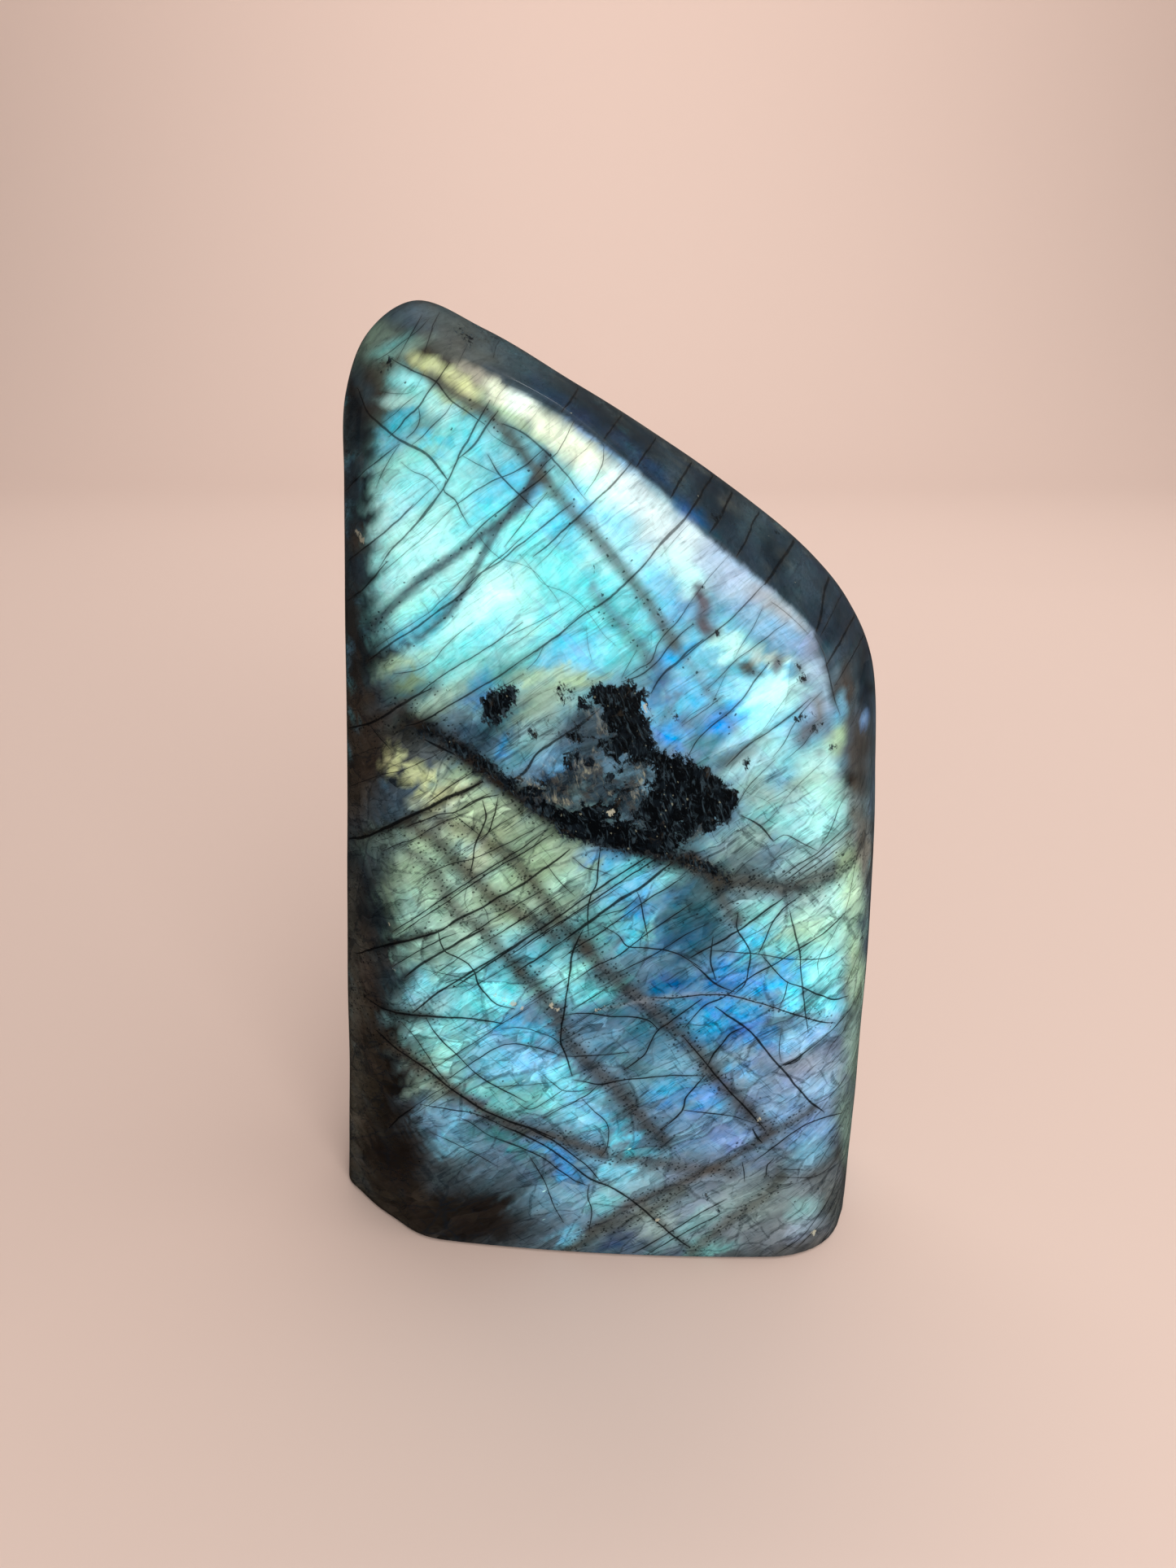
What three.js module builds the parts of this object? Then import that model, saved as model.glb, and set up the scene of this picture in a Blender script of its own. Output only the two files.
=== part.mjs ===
// A polished labradorite freeform: one upright stone with two wide polished faces, a long facet
// that slopes down to the right from its peak, and a flat sawn foot to stand on.
// Millimetres, +Z up. The front face looks along -Y. The origin is in the middle of the foot.

import * as THREE from 'three';
import { mergeVertices } from 'three/addons/utils/BufferGeometryUtils.js';

// Overall sizes
const stoneDepth = 42;            // front face to back face, through the thick lower half
const frontY = -21.5;             // the front face where it meets the foot
const backY = frontY + stoneDepth;
const footBevel = 0.6;            // broken edge all round the sawn foot

// Front face: turned a little to one side, leaning back, and gently crowned both ways
const frontTurn = -0.056;
const frontLean = 0.03;
const frontCrownX = 0.00147;
const frontCrownZ = 0.00056;
const frontCrownAt = { x: 5, z: 60 };

// Back face: leans forward towards the thinner peak
const backLean = -0.025;
const backCrownX = 0.0016;
const backCrownZ = 0.0004;
const backCrownAt = { x: 0, z: 55 };

// Middles that the rings of both wide faces close on, and the upright line inside the stone
// that every ground band is drawn in towards
const faceMiddle = { x: 0, z: 66 };
const heartLine = { x: -8, top: 108 };

// How each stretch of the rim was ground.
// rollWidth, rollDrop: the band inside the rim where the front face curves back, and how far
// edgeSoft, rimSoft: how far from its corner the rounding of the face's edge and of the rim starts
// rimY, flankY: the front and back edges of the rim's own flat
// backInset: how far the back face stays inside the rim
const leftGrind = {
  rollWidth: 9, rollDrop: 0.2, edgeSoft: 4, rimSoft: 3,
  rimY: -2.5, flankY: 9, backInset: 10,
};
const leftUpper = {
  rollWidth: 8, rollDrop: 0.4, edgeSoft: 4, rimSoft: 4,
  rimY: -2, flankY: 8, backInset: 10,
};
const peakGrind = {
  rollWidth: 7, rollDrop: 0.8, edgeSoft: 4, rimSoft: 5,
  rimY: -1, flankY: 6.5, backInset: 9,
};
const ridgeStart = {
  rollWidth: 8, rollDrop: 0.8, edgeSoft: 3, rimSoft: 4,
  rimY: 1, flankY: 7.5, backInset: 8.5,
};
const ridgeGrind = {
  rollWidth: 9, rollDrop: 0.9, edgeSoft: 1.3, rimSoft: 5,
  rimY: 3.5, flankY: 9.5, backInset: 8,
};
const shoulderGrind = {
  rollWidth: 8, rollDrop: 0.6, edgeSoft: 1.8, rimSoft: 5,
  rimY: 2.5, flankY: 9.5, backInset: 9,
};
const rightUpper = {
  rollWidth: 9, rollDrop: 0.8, edgeSoft: 5, rimSoft: 5,
  rimY: 0, flankY: 9.5, backInset: 10,
};
const rightGrind = {
  rollWidth: 12, rollDrop: 1.2, edgeSoft: 9, rimSoft: 5,
  rimY: -3, flankY: 9, backInset: 10,
};

// The rim from the foot's left corner, over the peak and down to its right corner.
// edge: the front face's corner line, x and z. rim: the widest line, x and z.
const posts = [
  { edge: [-32, footBevel], rim: [-47.4, footBevel], grind: leftGrind },
  { edge: [-31.5, 22], rim: [-45.7, 22], grind: leftGrind },
  { edge: [-32, 50], rim: [-43.9, 50], grind: leftGrind },
  { edge: [-31.5, 80], rim: [-41.6, 80], grind: leftGrind },
  { edge: [-32, 106], rim: [-39.9, 106], grind: leftGrind },
  { edge: [-31.5, 126], rim: [-38.8, 126], grind: leftUpper },
  { edge: [-30, 137.5], rim: [-37.8, 139], grind: peakGrind },
  { edge: [-27.5, 143], rim: [-34, 147.2], grind: peakGrind },
  { edge: [-23.5, 145], rim: [-27, 151.4], grind: peakGrind },
  { edge: [-16, 142.7], rim: [-17.4, 147.7], grind: ridgeStart },
  { edge: [-6, 138], rim: [-4, 140], grind: ridgeGrind },
  { edge: [6, 128.5], rim: [9, 132.2], grind: ridgeGrind },
  { edge: [18, 118.4], rim: [22.5, 123], grind: ridgeGrind },
  { edge: [27.2, 110.3], rim: [32.8, 114.5], grind: shoulderGrind },
  { edge: [31.8, 104.6], rim: [38.3, 107.9], grind: shoulderGrind },
  { edge: [34.3, 96.5], rim: [42.7, 99], grind: shoulderGrind },
  { edge: [36.5, 82], rim: [44.4, 80], grind: rightUpper },
  { edge: [38.5, 60], rim: [44.8, 60], grind: rightGrind },
  { edge: [39.2, 30], rim: [45.2, 30], grind: rightGrind },
  { edge: [39.2, footBevel], rim: [45.3, footBevel], grind: rightGrind },
];

// Number of steps
const stepsPerPost = 5;
const footSteps = 14;
const faceRings = 5;
const rollRings = 2;
const cornerRings = 4;

const flankInset = 1;             // the back edge of the rim's flat lies this far inside the rim
const backSoft = 7;               // rounding round the back face
const flatBulge = 0.03;           // every ground flat swells a little, as hand polishing leaves it

function frontAt(x, z) {
  const dx = x - frontCrownAt.x;
  const dz = z - frontCrownAt.z;
  const crown = frontCrownX * dx * dx + frontCrownZ * (dz * dz - frontCrownAt.z ** 2);
  return frontY + frontTurn * dx + frontLean * z + crown;
}

function backAt(x, z) {
  const dx = x - backCrownAt.x;
  const dz = z - backCrownAt.z;
  const crown = backCrownX * dx * dx + backCrownZ * (dz * dz - backCrownAt.z ** 2);
  return backY + backLean * z - crown;
}

// Smooth lines through the posts, all read with the same position t from 0 to 1
function lineThrough(points) {
  return new THREE.CatmullRomCurve3(points, false, 'centripetal');
}

const edgeLine = lineThrough(posts.map((p) => new THREE.Vector3(p.edge[0], 0, p.edge[1])));
const rimLine = lineThrough(posts.map((p) => new THREE.Vector3(p.rim[0], 0, p.rim[1])));

// Each number of the grinding also changes smoothly from post to post
const grindLines = {};
for (const name of Object.keys(leftGrind)) {
  grindLines[name] = new THREE.SplineCurve(posts.map((post) => new THREE.Vector2(post.grind[name], 0)));
}

function grindAt(t) {
  const grind = {};
  for (const name of Object.keys(grindLines)) {
    grind[name] = grindLines[name].getPoint(t).x;
  }
  return grind;
}

// Outward from the heart line: level beside it, so that the foot is cut square, and fanned above
function outwardAt(point) {
  const height = Math.min(point.z, heartLine.top);
  return new THREE.Vector3(point.x - heartLine.x, 0, point.z - height).normalize();
}

// A rounded corner from start to end, which would meet at the corner point
function roundCorner(start, corner, end, steps) {
  return new THREE.QuadraticBezierCurve3(start, corner, end).getPoints(steps);
}

function stepTowards(from, to, distance) {
  const length = from.distanceTo(to);
  return from.clone().lerp(to, Math.min(distance / length, 0.45));
}

// The point half way along a flat, lifted by the flat's own swell
function swollenMiddle(start, end, outward) {
  const middle = start.clone().lerp(end, 0.5);
  return middle.addScaledVector(outward, flatBulge * start.distanceTo(end));
}

function rollPoint(edge, outward, grind, inside) {
  const x = edge.x - outward.x * inside;
  const z = edge.z - outward.z * inside;
  const drop = grind.rollDrop * (1 - inside / grind.rollWidth) ** 2;
  return new THREE.Vector3(x, frontAt(x, z) + drop, z);
}

// One section across the rim, from the front face's flat part round to the back face's
function rimSection(t) {
  const grind = grindAt(t);
  const edgeFlat = edgeLine.getPoint(t);
  const rimFlat = rimLine.getPoint(t);
  const edgeOut = outwardAt(edgeFlat);
  const rimOut = outwardAt(rimFlat);

  const section = [];
  for (let ring = 0; ring < rollRings; ring += 1) {
    const share = ring / rollRings;
    const inside = THREE.MathUtils.lerp(grind.rollWidth, grind.edgeSoft, share);
    section.push(rollPoint(edgeFlat, edgeOut, grind, inside));
  }

  const edge = rollPoint(edgeFlat, edgeOut, grind, 0);
  const rim = new THREE.Vector3(rimFlat.x, grind.rimY, rimFlat.z);
  const flank = rimFlat.clone().addScaledVector(rimOut, -flankInset).setY(grind.flankY);
  const backFlat = rimFlat.clone().addScaledVector(rimOut, -grind.backInset);
  const backEdge = backFlat.clone().setY(backAt(backFlat.x, backFlat.z));
  const backFace = backFlat.clone().addScaledVector(rimOut, -backSoft);
  backFace.setY(backAt(backFace.x, backFace.z));

  const edgeEnd = stepTowards(edge, rim, grind.edgeSoft);
  const rimStart = stepTowards(rim, edge, grind.rimSoft);
  const facetOut = new THREE.Vector3(rimOut.x, -0.6, rimOut.z).normalize();
  const edgeStart = rollPoint(edgeFlat, edgeOut, grind, grind.edgeSoft);
  section.push(...roundCorner(edgeStart, edge, edgeEnd, cornerRings));
  section.push(swollenMiddle(edgeEnd, rimStart, facetOut));
  section.push(...roundCorner(rimStart, rim, stepTowards(rim, flank, grind.rimSoft), cornerRings));
  const flankStart = stepTowards(flank, rim, grind.rimSoft);
  const flankEnd = stepTowards(flank, backEdge, grind.rimSoft);
  section.push(...roundCorner(flankStart, flank, flankEnd, cornerRings));
  section.push(...roundCorner(stepTowards(backEdge, flank, backSoft), backEdge, backFace, cornerRings));
  return section;
}

// Rings of one wide face, from near its middle out to the boundary points given
function faceRing(boundary, surface, share) {
  return boundary.map((point) => {
    const x = THREE.MathUtils.lerp(faceMiddle.x, point.x, share);
    const z = THREE.MathUtils.lerp(faceMiddle.z, point.z, share);
    return new THREE.Vector3(x, surface(x, z), z);
  });
}

function makeStone() {
  const rimSteps = stepsPerPost * (posts.length - 1);
  const sections = [];
  for (let step = 0; step <= rimSteps; step += 1) {
    sections.push(rimSection(step / rimSteps));
  }
  const last = sections[0].length - 1;
  const left = sections[0];
  const right = sections[rimSteps];

  // The faces' lower edges run along the foot between the first and the last section
  const footFront = [];
  const footBack = [];
  for (let step = 1; step < footSteps; step += 1) {
    const share = step / footSteps;
    const frontX = THREE.MathUtils.lerp(right[0].x, left[0].x, share);
    const backX = THREE.MathUtils.lerp(right[last].x, left[last].x, share);
    footFront.push(new THREE.Vector3(frontX, frontAt(frontX, footBevel), footBevel));
    footBack.push(new THREE.Vector3(backX, backAt(backX, footBevel), footBevel));
  }

  const positions = [];
  const triangles = [];
  const addPoint = (point) => positions.push(point.x, point.y, point.z) / 3 - 1;
  const addQuad = (a, b, c, d) => triangles.push(a, c, b, a, d, c);

  const rim = sections.map((section) => section.map(addPoint));
  for (let step = 0; step < rimSteps; step += 1) {
    for (let ring = 0; ring < last; ring += 1) {
      addQuad(rim[step][ring], rim[step][ring + 1], rim[step + 1][ring + 1], rim[step + 1][ring]);
    }
  }

  // Each wide face closes on its own middle
  const closeFace = (ring, footEdge, surface, flip) => {
    const outerIds = [...rim.map((section) => section[ring]), ...footEdge.map(addPoint)];
    const outer = [...sections.map((section) => section[ring]), ...footEdge];
    const rings = [outerIds];
    for (let step = faceRings - 1; step > 0; step -= 1) {
      rings.push(faceRing(outer, surface, step / faceRings).map(addPoint));
    }
    const { x, z } = faceMiddle;
    const middle = addPoint(new THREE.Vector3(x, surface(x, z), z));
    for (let index = 0; index < outer.length; index += 1) {
      const next = (index + 1) % outer.length;
      const [from, to] = flip ? [next, index] : [index, next];
      for (let step = 0; step < rings.length - 1; step += 1) {
        addQuad(rings[step][from], rings[step][to], rings[step + 1][to], rings[step + 1][from]);
      }
      const inner = rings[rings.length - 1];
      triangles.push(inner[from], middle, inner[to]);
    }
    return outerIds.slice(sections.length);
  };
  const footFrontIds = closeFace(0, footFront, frontAt, false);
  const footBackIds = closeFace(last, footBack, backAt, true);

  // The sawn foot: its outline is drawn in by the bevel and closed flat at z = 0
  const outline = [
    ...rim[0],
    ...footBackIds.slice().reverse(),
    ...rim[rimSteps].slice().reverse(),
    ...footFrontIds,
  ];
  const outlinePoint = (index) => {
    const id = outline[(index + outline.length) % outline.length];
    return new THREE.Vector3().fromArray(positions, id * 3);
  };
  const footRing = outline.map((id, index) => {
    const along = outlinePoint(index + 1).sub(outlinePoint(index - 1)).normalize();
    const inward = new THREE.Vector3(along.y, -along.x, 0);
    return addPoint(outlinePoint(index).addScaledVector(inward, footBevel).setZ(0));
  });
  const footMiddle = addPoint(new THREE.Vector3(0, 0, 0));
  for (let index = 0; index < outline.length; index += 1) {
    const next = (index + 1) % outline.length;
    addQuad(outline[next], outline[index], footRing[index], footRing[next]);
    triangles.push(footRing[next], footMiddle, footRing[index]);
  }

  const geometry = new THREE.BufferGeometry();
  geometry.setAttribute('position', new THREE.Float32BufferAttribute(positions, 3));
  geometry.setIndex(triangles);
  const whole = mergeVertices(geometry, 1e-4);

  // Stand the stone on the middle of its own outline
  whole.computeBoundingBox();
  const middle = whole.boundingBox.getCenter(new THREE.Vector3());
  whole.translate(-middle.x, -middle.y, -whole.boundingBox.min.z);
  whole.computeVertexNormals();
  return whole;
}

const labradorite = new THREE.MeshStandardMaterial({
  name: 'labradorite',
  color: 0x4f7f86,
  roughness: 0.12,
  metalness: 0,
});

const stone = new THREE.Mesh(makeStone(), labradorite);
stone.name = 'stone';

const part = new THREE.Group();
part.add(stone);

export default part;
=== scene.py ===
import math

import bpy
import numpy as np
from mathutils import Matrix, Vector
from mathutils.bvhtree import BVHTree
from mathutils.geometry import delaunay_2d_cdt


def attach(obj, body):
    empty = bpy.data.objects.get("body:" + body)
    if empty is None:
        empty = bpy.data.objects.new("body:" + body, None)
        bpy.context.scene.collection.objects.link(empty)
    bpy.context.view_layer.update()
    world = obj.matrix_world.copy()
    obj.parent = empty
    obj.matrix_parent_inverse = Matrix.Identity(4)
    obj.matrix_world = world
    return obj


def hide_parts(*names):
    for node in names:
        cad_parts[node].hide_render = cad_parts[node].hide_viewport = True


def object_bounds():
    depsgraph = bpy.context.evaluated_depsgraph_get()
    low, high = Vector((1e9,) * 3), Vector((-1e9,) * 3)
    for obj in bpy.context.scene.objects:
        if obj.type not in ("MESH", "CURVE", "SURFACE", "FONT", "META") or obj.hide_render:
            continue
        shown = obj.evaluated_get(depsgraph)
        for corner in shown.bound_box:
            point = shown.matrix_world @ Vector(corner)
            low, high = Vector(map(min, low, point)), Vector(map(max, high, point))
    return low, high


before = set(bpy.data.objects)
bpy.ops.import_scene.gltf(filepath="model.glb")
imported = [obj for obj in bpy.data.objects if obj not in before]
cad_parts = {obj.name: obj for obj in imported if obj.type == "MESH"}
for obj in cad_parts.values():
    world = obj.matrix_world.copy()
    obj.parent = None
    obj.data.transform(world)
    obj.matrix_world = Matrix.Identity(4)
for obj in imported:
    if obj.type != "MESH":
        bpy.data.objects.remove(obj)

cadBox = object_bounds()
mm = 0.001
print("frame loaded")

# The shape of the stone in millimetres, with the same posts round its rim as the solid
stoneShape = {
    "frontY": -21.5,
    "backY": 20.5,
    "footBevel": 0.6,
    "frontTurn": -0.056,
    "frontLean": 0.03,
    "frontCrown": (0.00147, 0.00056),
    "frontCrownAt": (5.0, 60.0),
    "backLean": -0.025,
    "backCrown": (0.0016, 0.0004),
    "backCrownAt": (0.0, 55.0),
    "faceMiddle": (0.0, 66.0),
    "heartX": -8.0,
    "heartTop": 108.0,
    "flankInset": 1.0,
    "backSoft": 7.0,
    "flatBulge": 0.03,
    "waviness": 0.04,  # the slight unevenness that hand polishing leaves
}

# rollWidth, rollDrop, edgeSoft, rimSoft, rimY, flankY, backInset
leftGrind = (9, 0.2, 4, 3, -2.5, 9, 10)
leftUpper = (8, 0.4, 4, 4, -2, 8, 10)
peakGrind = (7, 0.8, 4, 5, -1, 6.5, 9)
ridgeStart = (8, 0.8, 3, 4, 1, 7.5, 8.5)
ridgeGrind = (9, 0.9, 1.3, 5, 3.5, 9.5, 8)
shoulderGrind = (8, 0.6, 1.8, 5, 2.5, 9.5, 9)
rightUpper = (9, 0.8, 5, 5, 0, 9.5, 10)
rightGrind = (12, 1.2, 9, 5, -3, 9, 10)

# edge x and z, rim x and z, and how that stretch was ground
rimPosts = [
    (-32, 0.6, -47.4, 0.6, leftGrind),
    (-31.5, 22, -45.7, 22, leftGrind),
    (-32, 50, -43.9, 50, leftGrind),
    (-31.5, 80, -41.6, 80, leftGrind),
    (-32, 106, -39.9, 106, leftGrind),
    (-31.5, 126, -38.8, 126, leftUpper),
    (-30, 137.5, -37.8, 139, peakGrind),
    (-27.5, 143, -34, 147.2, peakGrind),
    (-23.5, 145, -27, 151.4, peakGrind),
    (-16, 142.7, -17.4, 147.7, ridgeStart),
    (-6, 138, -4, 140, ridgeGrind),
    (6, 128.5, 9, 132.2, ridgeGrind),
    (18, 118.4, 22.5, 123, ridgeGrind),
    (27.2, 110.3, 32.8, 114.5, shoulderGrind),
    (31.8, 104.6, 38.3, 107.9, shoulderGrind),
    (34.3, 96.5, 42.7, 99, shoulderGrind),
    (36.5, 82, 44.4, 80, rightUpper),
    (38.5, 60, 44.8, 60, rightGrind),
    (39.2, 30, 45.2, 30, rightGrind),
    (39.2, 0.6, 45.3, 0.6, rightGrind),
]

stoneSteps = {
    "perPost": 20,
    "foot": 60,
    "face": 34,
    "roll": 5,
    "corner": 8,
    "flat": 6,
    "frontGrid": 0.62,
    "backGrid": 1.1,
    "alongCrack": 0.55,
    "castFrom": 80,  # millimetres from the middle, well clear of the stone
}


def frontAt(x, z):
    s = stoneShape
    dx = x - s["frontCrownAt"][0]
    dz = z - s["frontCrownAt"][1]
    crown = s["frontCrown"][0] * dx**2 + s["frontCrown"][1] * (dz**2 - s["frontCrownAt"][1] ** 2)
    return s["frontY"] + s["frontTurn"] * dx + s["frontLean"] * z + crown


def backAt(x, z):
    s = stoneShape
    dx = x - s["backCrownAt"][0]
    dz = z - s["backCrownAt"][1]
    crown = s["backCrown"][0] * dx**2 + s["backCrown"][1] * (dz**2 - s["backCrownAt"][1] ** 2)
    return s["backY"] + s["backLean"] * z - crown


def placeOnPosts(t, count):
    place = t * (count - 1)
    index = np.minimum(np.floor(place).astype(int), count - 2)
    return index, (place - index)[:, None]


def hermite(p1, p2, slope1, slope2, share):
    cubic = 2 * p1 - 2 * p2 + slope1 + slope2
    square = -3 * p1 + 3 * p2 - 2 * slope1 - slope2
    return p1 + slope1 * share + square * share**2 + cubic * share**3


# A smooth line whose spacing follows the distances between its points
def lineThrough(points, t):
    points = np.asarray(points, float)
    padded = np.vstack([2 * points[0] - points[1], points, 2 * points[-1] - points[-2]])
    index, share = placeOnPosts(t, len(points))
    p0, p1, p2, p3 = (padded[index + k] for k in range(4))
    pairs = ((p0, p1), (p1, p2), (p2, p3))
    gap0, gap1, gap2 = (np.linalg.norm(b - a, axis=1)[:, None] ** 0.5 for a, b in pairs)
    slope1 = ((p1 - p0) / gap0 - (p2 - p0) / (gap0 + gap1) + (p2 - p1) / gap1) * gap1
    slope2 = ((p2 - p1) / gap1 - (p3 - p1) / (gap1 + gap2) + (p3 - p2) / gap2) * gap1
    return hermite(p1, p2, slope1, slope2, share)


# The numbers of the grinding, changing evenly from post to post
def grindAlong(t):
    values = np.array([post[4] for post in rimPosts], float)
    padded = np.vstack([values[0], values, values[-1]])
    index, share = placeOnPosts(t, len(values))
    p0, p1, p2, p3 = (padded[index + k] for k in range(4))
    return hermite(p1, p2, (p2 - p0) / 2, (p3 - p1) / 2, share)


def outwardAt(x, z):
    s = stoneShape
    level = np.minimum(z, s["heartTop"])
    outward = np.stack([x - s["heartX"], np.zeros_like(x), z - level], axis=1)
    return outward / np.linalg.norm(outward, axis=1)[:, None]


def roundCorner(start, corner, end, steps):
    shares = np.linspace(0, 1, steps + 1)
    return [(1 - k) ** 2 * start + 2 * k * (1 - k) * corner + k**2 * end for k in shares]


def stepTowards(start, end, distance):
    length = np.linalg.norm(end - start, axis=1)
    return start + (end - start) * np.minimum(distance / length, 0.45)[:, None]


# Points between two corners, swelling a little in the middle of the flat
def flatBetween(start, end, steps, outward=None):
    length = np.linalg.norm(end - start, axis=1)[:, None]
    points = []
    for k in np.linspace(0, 1, steps + 2)[1:-1]:
        point = start + (end - start) * k
        if outward is not None:
            point = point + outward * length * stoneShape["flatBulge"] * 16 * (k * (1 - k)) ** 2
        points.append(point)
    return points


# Sections across the rim, and how far round each ring lies:
# 0 the front face, 1 its edge, 2 the rim, 3 the flank, 4 the back face
def rimSections(t):
    steps = stoneSteps
    posts = np.array([post[:4] for post in rimPosts], float)
    edge2 = lineThrough(posts[:, 0:2], t)
    rim2 = lineThrough(posts[:, 2:4], t)
    rollWidth, rollDrop, edgeSoft, rimSoft, rimY, flankY, backInset = grindAlong(t).T
    edgeOut = outwardAt(edge2[:, 0], edge2[:, 1])
    rimOut = outwardAt(rim2[:, 0], rim2[:, 1])

    def rollPoint(inside):
        x = edge2[:, 0] - edgeOut[:, 0] * inside
        z = edge2[:, 1] - edgeOut[:, 2] * inside
        drop = rollDrop * (1 - inside / rollWidth) ** 2
        return np.stack([x, frontAt(x, z) + drop, z], axis=1)

    def withDepth(points, y):
        return np.stack([points[:, 0], y, points[:, 2]], axis=1)

    rim = np.stack([rim2[:, 0], rimY, rim2[:, 1]], axis=1)
    flank = withDepth(rim - rimOut * stoneShape["flankInset"], flankY)
    backFlat = rim - rimOut * backInset[:, None]
    backEdge = withDepth(backFlat, backAt(backFlat[:, 0], backFlat[:, 2]))
    backInner = backFlat - rimOut * stoneShape["backSoft"]
    backFace = withDepth(backInner, backAt(backInner[:, 0], backInner[:, 2]))

    edge = rollPoint(0 * rollWidth)
    edgeStart = rollPoint(edgeSoft)
    edgeEnd = stepTowards(edge, rim, edgeSoft)
    rimStart = stepTowards(rim, edge, rimSoft)
    rimEnd = stepTowards(rim, flank, rimSoft)
    flankStart = stepTowards(flank, rim, rimSoft)
    flankEnd = stepTowards(flank, backEdge, rimSoft)
    backStart = stepTowards(backEdge, flank, stoneShape["backSoft"])
    facetOut = rimOut + np.array([0, -0.6, 0])
    facetOut /= np.linalg.norm(facetOut, axis=1)[:, None]

    rings, bands = [], []

    def addRings(points, low, high):
        rings.extend(points)
        bands.extend(np.linspace(low, high, len(points)))

    rollShares = np.arange(steps["roll"]) / steps["roll"]
    addRings([rollPoint(rollWidth + (edgeSoft - rollWidth) * share) for share in rollShares], 0, 0.5)
    addRings(roundCorner(edgeStart, edge, edgeEnd, steps["corner"]), 0.6, 1.4)
    addRings(flatBetween(edgeEnd, rimStart, steps["flat"], facetOut), 1.45, 1.75)
    addRings(roundCorner(rimStart, rim, rimEnd, steps["corner"]), 1.8, 2.2)
    addRings(flatBetween(rimEnd, flankStart, 2), 2.3, 2.7)
    addRings(roundCorner(flankStart, flank, flankEnd, steps["corner"]), 2.8, 3.2)
    addRings(flatBetween(flankEnd, backStart, 3), 3.3, 3.5)
    addRings(roundCorner(backStart, backEdge, backFace, steps["corner"]), 3.6, 4)
    return np.stack(rings, axis=1), np.array(bands)


def splitGrid(ids, flip=False):
    a, b, c, d = ids[:-1, :-1].ravel(), ids[1:, :-1].ravel(), ids[1:, 1:].ravel(), ids[:-1, 1:].ravel()
    triangles = np.vstack([np.stack([a, b, c], axis=1), np.stack([a, c, d], axis=1)])
    return triangles[:, ::-1] if flip else triangles


def vertexNormals(place, triangles):
    a, b, c = (place[triangles[:, k]] for k in range(3))
    flat = np.cross(b - a, c - a)
    normals = np.zeros_like(place)
    for k in range(3):
        np.add.at(normals, triangles[:, k], flat)
    return normals / np.maximum(np.linalg.norm(normals, axis=1), 1e-12)[:, None]


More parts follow.
